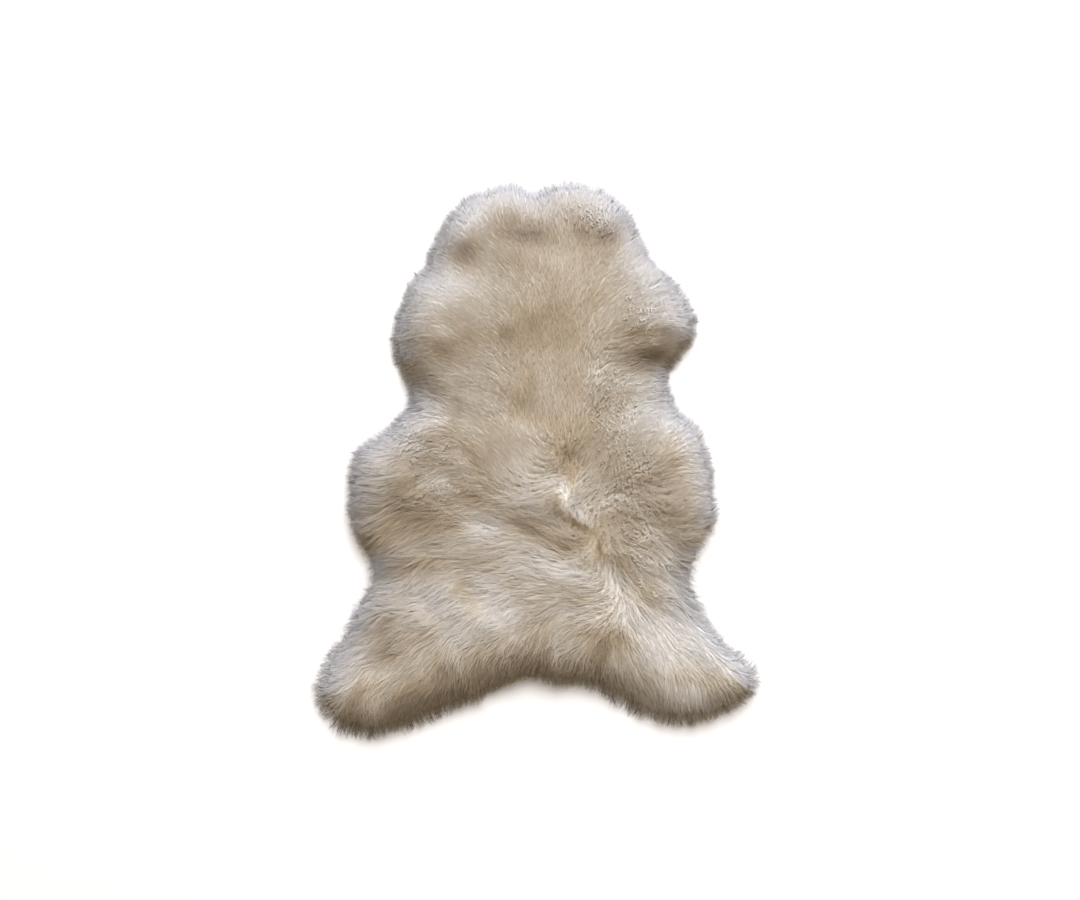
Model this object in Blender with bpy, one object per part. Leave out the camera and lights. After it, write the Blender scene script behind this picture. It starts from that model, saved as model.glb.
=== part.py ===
"""A natural sheepskin rug, lying flat with its wool upwards.

The rug is one tanned skin with its fleece left on, so it is one solid: a lumpy slab of wool with a
flat underside and a rounded rim, out of which two rows of pointed locks are drawn.

Frame: metres, +Z up, floor at Z = 0, +Y towards the nose, origin under the middle of the rug's box.
"""

import math
import random

import bmesh
import bpy
import numpy as np
from mathutils import Vector, noise
from mathutils.geometry import delaunay_2d_cdt

# The reach of the wool tips, seen from above, clockwise from the nose: (landmark, x, y).
OUTLINE = [
    ("notch in the nose", 0.001, 0.449),
    ("nose, right", 0.026, 0.467),
    ("nose, right", 0.074, 0.466),
    ("cheek, right", 0.127, 0.445),
    ("cheek, right", 0.156, 0.416),
    ("neck, right", 0.179, 0.371),
    ("shoulder, right", 0.237, 0.301),
    ("shoulder, right", 0.264, 0.258),
    ("foreleg stub, right", 0.276, 0.223),
    ("foreleg stub, right", 0.264, 0.184),
    ("armpit, right", 0.229, 0.158),
    ("waist, right", 0.222, 0.122),
    ("waist, right", 0.252, 0.070),
    ("flank, right", 0.283, 0.042),
    ("flank, right", 0.301, -0.010),
    ("flank, right", 0.310, -0.083),
    ("flank, right", 0.303, -0.122),
    ("groin, right", 0.281, -0.157),
    ("groin, right", 0.269, -0.219),
    ("thigh, right", 0.305, -0.294),
    ("foot, right", 0.349, -0.333),
    ("foot, right", 0.376, -0.367),
    ("foot, right", 0.368, -0.406),
    ("foot, right", 0.309, -0.440),
    ("heel, right", 0.251, -0.454),
    ("heel, right", 0.176, -0.435),
    ("rump, right", 0.101, -0.394),
    ("rump, right", 0.040, -0.390),
    ("tail", -0.014, -0.384),
    ("rump, left", -0.088, -0.410),
    ("heel, left", -0.164, -0.437),
    ("heel, left", -0.232, -0.464),
    ("foot, left", -0.292, -0.473),
    ("foot, left", -0.348, -0.451),
    ("foot, left", -0.377, -0.401),
    ("foot, left", -0.361, -0.347),
    ("thigh, left", -0.312, -0.262),
    ("groin, left", -0.286, -0.194),
    ("flank, left", -0.322, -0.122),
    ("flank, left", -0.324, -0.058),
    ("flank, left", -0.305, 0.017),
    ("waist, left", -0.258, 0.049),
    ("waist, left", -0.215, 0.100),
    ("armpit, left", -0.239, 0.150),
    ("foreleg stub, left", -0.249, 0.209),
    ("shoulder, left", -0.224, 0.289),
    ("shoulder, left", -0.191, 0.326),
    ("neck, left", -0.176, 0.374),
    ("cheek, left", -0.137, 0.430),
    ("nose, left", -0.099, 0.454),
    ("nose, left", -0.048, 0.466),
]

# Swells and hollows of the pile: (place, x, y, half length, half width, turn in degrees, rise).
SWELLS = [
    ("roll behind the nose", -0.010, 0.412, 0.120, 0.028, 0, 0.005),
    ("dip in the left temple", -0.122, 0.352, 0.036, 0.022, 10, -0.009),
    ("dip in the forehead", -0.022, 0.372, 0.044, 0.022, -3, -0.009),
    ("dip in the right temple", 0.108, 0.366, 0.040, 0.022, 5, -0.009),
    ("shoulder, left", -0.175, 0.262, 0.060, 0.045, 15, 0.008),
    ("shoulder, right", 0.190, 0.240, 0.065, 0.040, -15, 0.012),
    ("hollow under the left shoulder", -0.205, 0.135, 0.050, 0.028, 25, -0.008),
    ("hollow under the right shoulder", 0.170, 0.138, 0.060, 0.030, 5, -0.015),
    ("chest", -0.010, 0.205, 0.120, 0.050, 18, -0.007),
    ("back", 0.010, 0.085, 0.100, 0.055, 8, 0.005),
    ("dent in the back", 0.047, -0.024, 0.040, 0.028, 35, -0.017),
    ("flank, left", -0.265, -0.030, 0.055, 0.060, -10, 0.007),
    ("flank, right", 0.225, 0.005, 0.060, 0.065, 5, 0.008),
    ("hollow of the left flank", -0.225, -0.112, 0.060, 0.032, 20, -0.009),
    ("saddle", 0.045, -0.072, 0.070, 0.022, -20, 0.008),
    ("hollow behind the saddle", 0.045, -0.122, 0.075, 0.022, -22, -0.008),
    ("loin", -0.015, -0.180, 0.100, 0.024, -32, 0.007),
    ("hollow of the loin", 0.045, -0.255, 0.060, 0.028, -30, -0.007),
    ("hollow of the right flank", 0.225, -0.150, 0.055, 0.035, 25, -0.006),
    ("rump, left", -0.100, -0.265, 0.070, 0.034, -38, 0.007),
    ("hollow of the left thigh", -0.240, -0.305, 0.050, 0.028, 50, -0.007),
    ("leg, left", -0.310, -0.370, 0.070, 0.035, 60, 0.006),
    ("leg, right", 0.205, -0.325, 0.110, 0.036, -40, 0.009),
]

RUMP_Y, HEAD_Y = -0.150, 0.150  # tufted behind the one, brushed before the other
PILE_HEIGHT = 0.052  # the crown of the fleece over the floor, between its swells
TUFT_SIZE = 0.050  # from one wool tuft to the next
TUFT_RISES = (0.008, 0.003)  # at the rump, and at the head, where the wool lies brushed
TUFT_SEED = 11.7
TOP_SPACING = 0.0135  # of the points that carry the lumpy top

LOCKS_IN_A_ROW = 150
RIM_INSET = 0.0135  # from the outline in to the slab's rim
LOCK_LENGTH = 0.019  # so that the longer locks end past the outline
LOCK_VARIES = 0.28  # share by which a lock's length differs from the usual one
LOCK_LEANS = 22.0  # degrees, about the most that locks are combed sideways
COMBED_ALIKE = 0.09  # of the rim, before its locks lean another way
LOCK_MIDDLE = 0.55  # share of a lock's length where its thickest part ends
LOCK_WAIST = 0.72  # its size there, as a share of its root
LOCK_DROPS = (0.006, 0.010)  # the tip of an upper lock below its root
LOCK_SEED = 5
SHORTEST_CROWDED = 0.45  # a lock in the tightest notch, as a share of the usual one

SHOULDER = 0.062  # how far the slab's rim takes to round over into its top
RIM_DEPTHS = (0.0, 0.003, 0.013)  # how far in from the rim its rings of points lie

WOOL_COLOUR = (0.66, 0.60, 0.50)
WOOL_ROUGHNESS = 0.95

CURVE_STEPS = 24  # between two landmarks
SHARP_ANGLE = math.radians(40)
NORMAL_REACH = 2  # neighbours on each side over which the rim's direction is evened out
INSET_STEP = 0.004
EASE = 0.08  # how far a point moves towards its neighbours at each of those steps


def through(points, steps):
    """A closed centripetal Catmull-Rom curve through the points, with that many steps between two."""
    found = []
    count = len(points)
    for i in range(count):
        a, b, c, d = (points[(i + k) % count] for k in (-1, 0, 1, 2))
        knots = [0.0]
        for start, end in ((a, b), (b, c), (c, d)):
            knots.append(knots[-1] + math.sqrt(np.linalg.norm(end - start)))
        t0, t1, t2, t3 = knots
        for t in np.linspace(t1, t2, steps, endpoint=False):
            ab = ((t1 - t) * a + (t - t0) * b) / (t1 - t0)
            bc = ((t2 - t) * b + (t - t1) * c) / (t2 - t1)
            cd = ((t3 - t) * c + (t - t2) * d) / (t3 - t2)
            abc = ((t2 - t) * ab + (t - t0) * bc) / (t2 - t0)
            bcd = ((t3 - t) * bc + (t - t1) * cd) / (t3 - t1)
            found.append(((t2 - t) * abc + (t - t1) * bcd) / (t2 - t1))
    return np.array(found)


def evenly(curve, count):
    """That many points at even distances along a closed curve."""
    closed = np.vstack([curve, curve[:1]])
    along = np.concatenate([[0], np.cumsum(np.linalg.norm(np.diff(closed, axis=0), axis=1))])
    wanted = np.linspace(0, along[-1], count, endpoint=False)
    return np.stack([np.interp(wanted, along, closed[:, axis]) for axis in (0, 1)], axis=1)


def outward(loop):
    """The directions out of a clockwise loop of points, evened out over their neighbours."""
    ahead = np.roll(loop, -1, axis=0) - np.roll(loop, 1, axis=0)
    out = np.stack([-ahead[:, 1], ahead[:, 0]], axis=1)
    out = sum(np.roll(out, k, axis=0) for k in range(-NORMAL_REACH, NORMAL_REACH + 1))
    return out / np.linalg.norm(out, axis=1, keepdims=True)


def inset(loop, distance):
    """The loop moved inwards, in small steps that are eased so that its tips never cross."""
    steps = max(1, round(distance / INSET_STEP))
    for _ in range(steps):
        loop = loop - outward(loop) * distance / steps
        loop += EASE * (np.roll(loop, 1, axis=0) + np.roll(loop, -1, axis=0) - 2 * loop)
    return loop


def swell_at(x, y):
    """How far the swells and hollows lift the pile at a place."""
    rise = 0.0
    for _, at_x, at_y, long, wide, turn, height in SWELLS:
        cos, sin = math.cos(math.radians(turn)), math.sin(math.radians(turn))
        along = ((x - at_x) * cos + (y - at_y) * sin) / long
        across = ((y - at_y) * cos - (x - at_x) * sin) / wide
        rise += height * math.exp(-along * along - across * across)
    return rise


def tuft_at(x, y):
    """How far a single tuft of wool lifts the pile at a place."""
    place = Vector((x / TUFT_SIZE, y / TUFT_SIZE, TUFT_SEED))
    rise = np.interp(y, (RUMP_Y, HEAD_Y), TUFT_RISES)
    return rise * (noise.noise(place) + 0.5 * noise.noise(place * 2))


def top_at(x, y, depth):
    """The height of the pile at a place that far in from the slab's rim."""
    across = 1 - min(depth / SHOULDER, 1.0)
    up = math.sqrt(1 - across * across)
    return PILE_HEIGHT * up + up**3 * (swell_at(x, y) + tuft_at(x, y))


def depth_in(point, loop):
    """How far a point lies inside a loop, or less than nothing where it lies outside."""
    start, side = loop, np.roll(loop, -1, axis=0) - loop
    along = np.sum((point - start) * side, axis=1) / np.sum(side * side, axis=1)
    nearest = start + side * np.clip(along, 0, 1)[:, None]
    distance = np.linalg.norm(nearest - point, axis=1).min()
    rises = (start[:, 1] > point[1]) != (start[:, 1] + side[:, 1] > point[1])
    level = np.where(rises, side[:, 1], 1.0)
    to_right = start[:, 0] + side[:, 0] * (point[1] - start[:, 1]) / level > point[0]
    return distance if (rises & to_right).sum() % 2 else -distance


def honeycomb(loop, spacing):
    """Points in staggered rows that fill a loop, clear of its edge."""
    low, high = loop.min(axis=0), loop.max(axis=0)
    row_height = spacing * math.sqrt(3) / 2
    points = []
    for row in range(int((high[1] - low[1]) / row_height) + 1):
        first = low[0] + (row % 2) * spacing / 2
        points += [(x, low[1] + row * row_height) for x in np.arange(first, high[0], spacing)]
    return [point for point in np.array(points) if depth_in(point, loop) > 0.6 * spacing]


def bridge(bm, lower, upper):
    """A band of quads between two rings, facing away from the rug's middle."""
    count = len(lower)
    quads = []
    for i in range(count):
        j = (i + 1) % count
        quads.append(bm.faces.new((lower[j], lower[i], upper[i], upper[j])))
    return quads


def crown(bm, edge, loop, rim):
    """The lumpy top inside a ring of vertices over a loop, triangulated with a honeycomb."""
    flat = [Vector(p) for p in loop] + [Vector(p) for p in honeycomb(loop, TOP_SPACING)]
    points, _, triangles, sources, _, _ = delaunay_2d_cdt(flat, [], [range(len(loop))], 1, 1e-6)
    verts = []
    for point, source in zip(points, sources):
        if source and source[0] < len(loop):
            verts.append(edge[source[0]])
        else:
            height = top_at(*point, depth_in(np.array(point), rim))
            verts.append(bm.verts.new((*point, height)))
    for triangle in triangles:
        bm.faces.new([verts[i] for i in triangle])


def crowding(loop, out):
    """How much shorter each lock is made, because in a notch the locks run into each other."""
    spread = np.linalg.norm(np.roll(out, -1, axis=0) - np.roll(out, 1, axis=0), axis=1)
    ahead = np.roll(loop, -1, axis=0) - np.roll(loop, 1, axis=0)
    turns = np.roll(out, -1, axis=0) - np.roll(out, 1, axis=0)
    closing = np.sum(ahead * turns, axis=1) < 0
    share = 1 - closing * spread * LOCK_LENGTH * 1.6 / np.linalg.norm(ahead, axis=1)
    return np.clip(share, SHORTEST_CROWDED, 1.0)


def pull_lock(bm, root, out, length, lean, drop, on_floor):
    """Draws a face of the rim out into a pointed, four-sided lock.

    A lock on the floor keeps its underside level with it.  One above droops by drop at its tip.
    """
    cos, sin = math.cos(lean), math.sin(lean)
    way = Vector((out[0] * cos - out[1] * sin, out[0] * sin + out[1] * cos, 0.0))
    middle = bmesh.ops.extrude_discrete_faces(bm, faces=[root])["faces"][0]
    centre = middle.calc_center_median()
    if on_floor:
        centre.z = 0.0
    for vert in middle.verts:
        vert.co = centre + (vert.co - centre) * LOCK_WAIST + way * length * LOCK_MIDDLE
        vert.co.z -= 0.0 if on_floor else drop * LOCK_MIDDLE**2
    tip = bmesh.ops.extrude_discrete_faces(bm, faces=[middle])["faces"][0]
    point = centre + way * length
    point.z -= 0.0 if on_floor else drop
    bmesh.ops.pointmerge(bm, verts=tip.verts, merge_co=point)


def sheepskin(outline):
    """The rug: a slab with a lumpy top, a rounded rim and a lock drawn out of each face there."""
    bm = bmesh.new()
    out = outward(outline)
    size = crowding(outline, out)
    rim = outline - out * (RIM_INSET * size)[:, None]
    loops = [inset(rim, depth) if depth else rim for depth in RIM_DEPTHS]
    rings = []
    for loop, depth in zip(loops, RIM_DEPTHS):
        rings.append([bm.verts.new((x, y, top_at(x, y, depth))) for x, y in loop])
    bm.faces.new(rings[0])
    bands = [bridge(bm, low, high) for low, high in zip(rings, rings[1:])]
    crown(bm, rings[-1], loops[-1], rim)

    chance = random.Random(LOCK_SEED)
    midway = out + np.roll(out, -1, axis=0)
    for row, band in enumerate(bands):
        for i, root in enumerate(band):
            way = midway[i] / np.linalg.norm(midway[i])
            length = LOCK_LENGTH * size[i] * (1 + LOCK_VARIES * chance.uniform(-1, 1))
            combed = noise.noise(Vector((*outline[i], row)) / COMBED_ALIKE)
            lean = math.radians(LOCK_LEANS) * size[i] * (combed + 0.3 * chance.uniform(-1, 1))
            drop = chance.uniform(*LOCK_DROPS)
            pull_lock(bm, root, way, length, lean, drop, on_floor=row == 0)
    bmesh.ops.recalc_face_normals(bm, faces=bm.faces)
    return bm


def wool():
    """Cream wool, with no shine."""
    material = bpy.data.materials.new("cream_wool")
    material.use_nodes = True
    shader = material.node_tree.nodes["Principled BSDF"]
    shader.inputs["Base Color"].default_value = (*WOOL_COLOUR, 1.0)
    shader.inputs["Roughness"].default_value = WOOL_ROUGHNESS
    shader.inputs["Metallic"].default_value = 0.0
    return material


def main():
    for old in list(bpy.data.objects):
        bpy.data.objects.remove(old)
    landmarks = [np.array((x, y)) for _, x, y in OUTLINE]
    bm = sheepskin(evenly(through(landmarks, CURVE_STEPS), LOCKS_IN_A_ROW))
    reached = np.array([vert.co.xy for vert in bm.verts])
    mesh = bpy.data.meshes.new("sheepskin")
    bm.to_mesh(mesh)
    bm.free()
    mesh.shade_smooth()
    mesh.set_sharp_from_angle(angle=SHARP_ANGLE)
    mesh.materials.append(wool())
    rug = bpy.data.objects.new("sheepskin", mesh)
    rug.location.xy = -(reached.min(axis=0) + reached.max(axis=0)) / 2
    bpy.context.scene.collection.objects.link(rug)


main()
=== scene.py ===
"""A natural sheepskin rug: a tanned skin with its long cream wool, laid flat, seen from straight above.

Units are metres.  The floor is Z = 0 and the nose end of the skin points to +Y.
"""

import math

import bmesh
import bpy
import numpy as np
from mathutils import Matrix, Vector, noise


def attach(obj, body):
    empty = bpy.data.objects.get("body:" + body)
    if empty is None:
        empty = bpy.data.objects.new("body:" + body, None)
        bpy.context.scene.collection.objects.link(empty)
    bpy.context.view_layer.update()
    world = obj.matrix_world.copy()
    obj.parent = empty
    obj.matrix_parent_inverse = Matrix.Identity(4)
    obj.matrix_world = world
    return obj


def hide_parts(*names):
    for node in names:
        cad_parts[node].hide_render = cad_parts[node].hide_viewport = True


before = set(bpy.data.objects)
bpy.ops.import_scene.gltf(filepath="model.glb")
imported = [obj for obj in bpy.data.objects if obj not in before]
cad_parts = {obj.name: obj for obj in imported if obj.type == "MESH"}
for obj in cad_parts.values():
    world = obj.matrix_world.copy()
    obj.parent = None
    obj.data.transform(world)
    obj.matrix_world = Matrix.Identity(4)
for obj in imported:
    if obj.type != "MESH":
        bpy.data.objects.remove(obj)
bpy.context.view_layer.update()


# ---------------------------------------------------------------------------------------------
# Studio.  A plain near-white floor under soft light, most of it from beyond the nose, so that the
# wool is bright on the side that faces it and dark along the rump.  The camera looks straight down.

FLOOR_SIZE = 14.0
FLOOR_WHITE = (0.93, 0.93, 0.935)
CAMERA_HEIGHT = 2.6
VIEW_WIDTH = 1.836  # of floor that the picture shows from side to side
VIEW_CENTRE = (0.006, 0.0125)  # the rug lies this little off the middle of the picture
SENSOR_WIDTH = 36.0
SIGHT = 100  # how far the camera sees
SKY_TINT, SKY_STRENGTH = (1.0, 0.83, 0.64), 0.30


def object_of(name, data):
    """A new object in the scene for a mesh, a camera or a lamp."""
    made = bpy.data.objects.new(name, data)
    bpy.context.scene.collection.objects.link(made)
    return made


def paint(name, roughness, specular):
    """A new material and its shader."""
    made = bpy.data.materials.new(name)
    made.use_nodes = True
    shader = made.node_tree.nodes["Principled BSDF"]
    shader.inputs["Roughness"].default_value = roughness
    shader.inputs["Specular IOR Level"].default_value = specular
    return made, shader


def soft_box(name, place, size, power, colour):
    """A square studio light at a place, aimed at the middle of the rug."""
    lamp = bpy.data.lights.new(name, "AREA")
    lamp.shape = "SQUARE"
    lamp.size = size
    lamp.energy = power
    lamp.color = colour
    holder = object_of(name, lamp)
    holder.location = place
    holder.rotation_euler = (-Vector(place)).to_track_quat("-Z", "Y").to_euler()


floor_mesh = bpy.data.meshes.new("floor")
half = FLOOR_SIZE / 2
floor_corners = [(-half, -half, 0), (half, -half, 0), (half, half, 0), (-half, half, 0)]
floor_mesh.from_pydata(floor_corners, [], [(0, 1, 2, 3)])
floor = object_of("floor", floor_mesh)
floor_paint, floor_shader = paint("white_floor", roughness=0.9, specular=0.5)
floor_shader.inputs["Base Color"].default_value = (*FLOOR_WHITE, 1)
floor_mesh.materials.append(floor_paint)

camera_lens = bpy.data.cameras.new("camera")
camera_lens.sensor_width = SENSOR_WIDTH
camera_lens.lens = SENSOR_WIDTH * CAMERA_HEIGHT / VIEW_WIDTH
camera_lens.clip_end = SIGHT
camera = object_of("camera", camera_lens)
camera.location = (*VIEW_CENTRE, CAMERA_HEIGHT)
bpy.context.scene.camera = camera

soft_box("window", place=(1.5, 10.0, 13.0), size=8.0, power=3130, colour=(0.97, 0.97, 1.0))
soft_box("overhead", place=(0.3, 0.8, 4.4), size=3.0, power=30, colour=(1.0, 0.94, 0.86))

sky = bpy.data.worlds.new("studio")
sky.use_nodes = True
sky.node_tree.nodes["Background"].inputs["Color"].default_value = (*SKY_TINT, 1)
sky.node_tree.nodes["Background"].inputs["Strength"].default_value = SKY_STRENGTH
bpy.context.scene.world = sky
bpy.context.scene.view_settings.view_transform = "Standard"


# ---------------------------------------------------------------------------------------------
# Skin.  The tanned leather that the wool grows from: a supple sheet two millimetres thick, cut
# all round about 3.5 cm inside the wool's tips, with its suede side on the floor.

SKIN_THICKNESS = 0.002
SKIN_INSET = 0.034  # the wool spills this far past the skin's edge
SKIN_LIFT = 0.0003
INSET_STEP = 0.002
SUEDE_PALE, SUEDE_DARK = (0.86, 0.78, 0.66), (0.66, 0.54, 0.40)
MOTTLE = {"Scale": 11.0, "Detail": 5.0, "Roughness": 0.6}
NAP = {"Scale": 700.0, "Detail": 3.0}
NAP_HEIGHT, NAP_STRENGTH = 0.0006, 0.5
RIM_STEP = 0.006  # between the points of the rug's outline
RIM_EVENING, RIM_REACH = 3, 2  # times that the locks' zigzag is evened out of it, and over how many points
MERGED = 1e-5  # corners of the solid's loose triangles this near each other are one
ON_FLOOR = 1e-4  # what is lower than this touches the floor

rug_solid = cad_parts["sheepskin"]


def merged_mesh(node):
    """The loose triangles of a CAD node, joined at their corners."""
    bm = bmesh.new()
    bm.from_mesh(node.data)
    bmesh.ops.remove_doubles(bm, verts=bm.verts, dist=MERGED)
    return bm


def spaced(loop):
    """A closed loop as points at even distances along it."""
    corners = np.vstack([loop, loop[:1]])
    along = np.concatenate([[0], np.cumsum(np.linalg.norm(np.diff(corners, axis=0), axis=1))])
    stops = np.linspace(0, along[-1], int(along[-1] / RIM_STEP), endpoint=False)
    return np.stack([np.interp(stops, along, corners[:, axis]) for axis in (0, 1)], axis=1)


def floor_outline(node):
    """The loop round all that touches the floor, as points at even distances."""
    bm = merged_mesh(node)
    lying = {f for f in bm.faces if max(v.co.z for v in f.verts) < ON_FLOOR}
    bmesh.ops.delete(bm, geom=[f for f in bm.faces if f not in lying], context="FACES")
    onwards = {}
    for edge in bm.edges:
        if edge.is_boundary:
            loop = edge.link_loops[0]
            onwards[loop.vert] = loop.link_loop_next.vert
    first = next(iter(onwards))
    walk, at = [first.co.xy.copy()], onwards[first]
    while at is not first:
        walk.append(at.co.xy.copy())
        at = onwards[at]
    bm.free()
    return spaced(np.array(walk))


def evened(loop, times, reach):
    """A loop with each point moved to the middle of its neighbours within reach."""
    for _ in range(times):
        loop = sum(np.roll(loop, k, axis=0) for k in range(-reach, reach + 1)) / (2 * reach + 1)
    return loop


def outwards(loop):
    """The directions out of a closed loop."""
    ahead = np.roll(loop, -2, axis=0) - np.roll(loop, 2, axis=0)
    out = np.stack([ahead[:, 1], -ahead[:, 0]], axis=1)
    twice_area = np.sum(loop[:, 0] * np.roll(loop[:, 1], -1) - np.roll(loop[:, 0], -1) * loop[:, 1])
    return out / np.linalg.norm(out, axis=1, keepdims=True) * np.sign(twice_area)


def drawn_in(loop, distance):
    """A loop moved inwards in small steps, each evened and spaced anew so that it never crosses itself."""
    steps = round(distance / INSET_STEP)
    for _ in range(steps):
        loop = spaced(evened(loop - outwards(loop) * distance / steps, 1, 1))
    return loop


def plate(name, loop, low, high):
    """A flat closed plate with a loop for its outline, between two heights."""
    bm = bmesh.new()
    under = [bm.verts.new((x, y, low)) for x, y in loop]
    upper = [bm.verts.new((x, y, high)) for x, y in loop]
    bm.faces.new(under)
    bm.faces.new(upper[::-1])
    for k in range(len(loop)):
        bm.faces.new((under[k - 1], upper[k - 1], upper[k], under[k]))
    bmesh.ops.triangulate(bm, faces=bm.faces[:2])
    bmesh.ops.recalc_face_normals(bm, faces=bm.faces)
    mesh = bpy.data.meshes.new(name)
    bm.to_mesh(mesh)
    bm.free()
    return object_of(name, mesh)


def put(tree, kind, *feeds, named=None, **settings):
    """Adds a node with its settings, fed by sockets or values, and returns its first output."""
    node = tree.nodes.new(kind)
    for setting, value in settings.items():
        setattr(node, setting, value)
    live = [socket for socket in node.inputs if socket.enabled]
    fed = [*zip(live, feeds)]
    fed += [(next(s for s in live if s.name == name), feed) for name, feed in (named or {}).items()]
    for socket, feed in fed:
        if isinstance(feed, bpy.types.NodeSocket):
            tree.links.new(feed, socket)
        else:
            socket.default_value = feed
    return next((socket for socket in node.outputs if socket.enabled), None)


def blend(tree, share, first, second):
    """The colour between two colours."""
    return put(tree, "ShaderNodeMix", data_type="RGBA", named={"Factor": share, "A": first, "B": second})


wool_outline = evened(floor_outline(rug_solid), RIM_EVENING, RIM_REACH)
skin_outline = drawn_in(wool_outline, SKIN_INSET)
skin = plate("skin", skin_outline, SKIN_LIFT, SKIN_LIFT + SKIN_THICKNESS)

suede, suede_shader = paint("suede", roughness=0.9, specular=0.2)
hide = suede.node_tree
hide_place = hide.nodes.new("ShaderNodeTexCoord").outputs["Object"]
mottle = put(hide, "ShaderNodeTexNoise", named={"Vector": hide_place, **MOTTLE})
hide_tint = blend(hide, mottle, (*SUEDE_DARK, 1), (*SUEDE_PALE, 1))
hide.links.new(hide_tint, suede_shader.inputs["Base Color"])
nap = put(hide, "ShaderNodeTexNoise", named={"Vector": hide_place, **NAP})
brushed = {"Strength": NAP_STRENGTH, "Distance": NAP_HEIGHT, "Height": nap}
hide.links.new(put(hide, "ShaderNodeBump", named=brushed), suede_shader.inputs["Normal"])
skin.data.materials.append(suede)
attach(skin, "root")


# ---------------------------------------------------------------------------------------------
# Undercoat.  The dense short wool next to the skin, felted into one body that follows the swells
# and hollows of the rug.  It grows out of the skin and stops short of the long wool's tips.

UNDERCOAT_DEPTH = 0.006  # below the tips of the long wool
UNDERCOAT_GRAIN = 0.0070
UNDERCOAT_FOOT = 0.0025  # its lowest wool over the floor, just above the skin's top

# The way that the wool is combed, as anyone stroking the rug would find it: places on the skin and
# the direction of the tips there, in degrees anticlockwise from +X.
STROKES = (
    ("nose", -0.06, 0.44, 90),
    ("nose, right", 0.11, 0.45, 75),
    ("left temple", -0.18, 0.38, 140),
    ("right temple", 0.18, 0.37, 40),
    ("brow", 0.02, 0.35, 92),
    ("brow, left", -0.06, 0.33, 130),
    ("left cheek", -0.23, 0.28, 160),
    ("right cheek", 0.24, 0.28, 30),
    ("right of the nape", 0.16, 0.27, 45),
    ("left shoulder", -0.24, 0.20, 190),
    ("inside the left shoulder", -0.14, 0.21, 140),
    ("nape", 0.02, 0.21, 97),
    ("right shoulder", 0.27, 0.21, -10),
    ("inside the right shoulder", 0.23, 0.19, 30),
    ("under the left shoulder", -0.21, 0.14, 215),
    ("under the right shoulder", 0.24, 0.17, -45),
    ("left of the withers", -0.13, 0.12, 155),
    ("withers", 0.02, 0.095, 95),
    ("right waist", 0.20, 0.11, 10),
    ("right flank, top", 0.235, 0.05, 45),
    ("right flank, rim", 0.285, -0.025, 5),
    ("right flank, low", 0.25, -0.085, 40),
    ("right flank, low rim", 0.31, -0.10, 45),
    ("right hip", 0.26, -0.18, 10),
    ("curls", 0.14, 0.02, 75),
    ("right of the dent", 0.10, 0.0, 60),
    ("under the dent, right", 0.065, -0.06, 40),
    ("left of the dent", -0.03, -0.005, 130),
    ("under the dent", 0.035, -0.05, 190),
    ("left flank, rim", -0.30, -0.05, 185),
    ("left flank", -0.225, -0.06, 215),
    ("left flank, low", -0.18, -0.145, 200),
    ("loin", -0.06, -0.125, 180),
    ("loin, right", 0.025, -0.145, 170),
    ("left hip", -0.225, -0.28, 197),
    ("left hip, rim", -0.30, -0.27, 200),
    ("croup, left", -0.095, -0.23, 200),
    ("croup", -0.035, -0.23, 180),
    ("croup, right", 0.09, -0.245, 170),
    ("over the rump", 0.05, -0.295, 232),
    ("rump, left", -0.07, -0.355, 260),
    ("rump, right", 0.065, -0.365, 265),
    ("left foot, outside", -0.35, -0.38, 190),
    ("left foot, tip", -0.315, -0.43, 240),
    ("left foot, inside", -0.25, -0.44, 268),
    ("right of the loin", 0.185, -0.11, 310),
    ("inside the right hip", 0.175, -0.195, 310),
    ("right thigh", 0.19, -0.28, 310),
    ("right thigh, rim", 0.28, -0.26, 320),
    ("right leg", 0.28, -0.315, 320),
    ("right foot, tip", 0.355, -0.345, 340),
    ("right foot, inside", 0.26, -0.415, 285),
    ("right leg, inside", 0.14, -0.40, 275),
)
STROKE_REACH = 0.025  # a stroke holds within this distance and gives way to its neighbours past it
RIM_COMBED = 0.035  # from the outline the wool turns to point straight out

# Where the wool is curlier than plain combed wool: place, half its width and height, how curly, with
# less than none where it is plainer than the rear's wool.
CURLS = (
    ("behind the right shoulder", 0.14, 0.035, 0.045, 0.095, 1.0),
    ("right of the nape", 0.17, 0.25, 0.03, 0.06, 0.7),
    ("right of the loin", 0.17, -0.16, 0.09, 0.13, 0.9),
    ("left flank", -0.23, -0.05, 0.09, 0.07, 0.7),
    ("under the dent", 0.02, -0.12, 0.12, 0.07, 0.7),
    ("left hip", -0.15, -0.25, 0.22, 0.10, 0.6),
    ("rump", 0.02, -0.30, 0.16, 0.07, 0.5),
    ("left waist", -0.16, 0.11, 0.07, 0.06, 0.6),
    ("right temple", 0.10, 0.40, 0.04, 0.025, 0.5),
    ("right flank", 0.250, -0.025, 0.050, 0.080, -0.9),
)

# Where short, tightly curled strands stand out of the wool: place, half its width and height, and
# how many of them.
TIGHT_CURLS = (
    ("behind the right shoulder", 0.132, 0.060, 0.024, 0.060, 0.9),
    ("right of the dent", 0.150, -0.030, 0.034, 0.050, 0.8),
    ("right of the loin", 0.175, -0.130, 0.034, 0.070, 0.6),
    ("inside the right shoulder", 0.165, 0.215, 0.018, 0.045, 0.5),
    ("left flank", -0.185, 0.020, 0.040, 0.024, 0.5),
    ("left flank, low", -0.170, -0.060, 0.040, 0.024, 0.4),
    ("right temple", 0.095, 0.395, 0.022, 0.016, 0.5),
)

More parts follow.
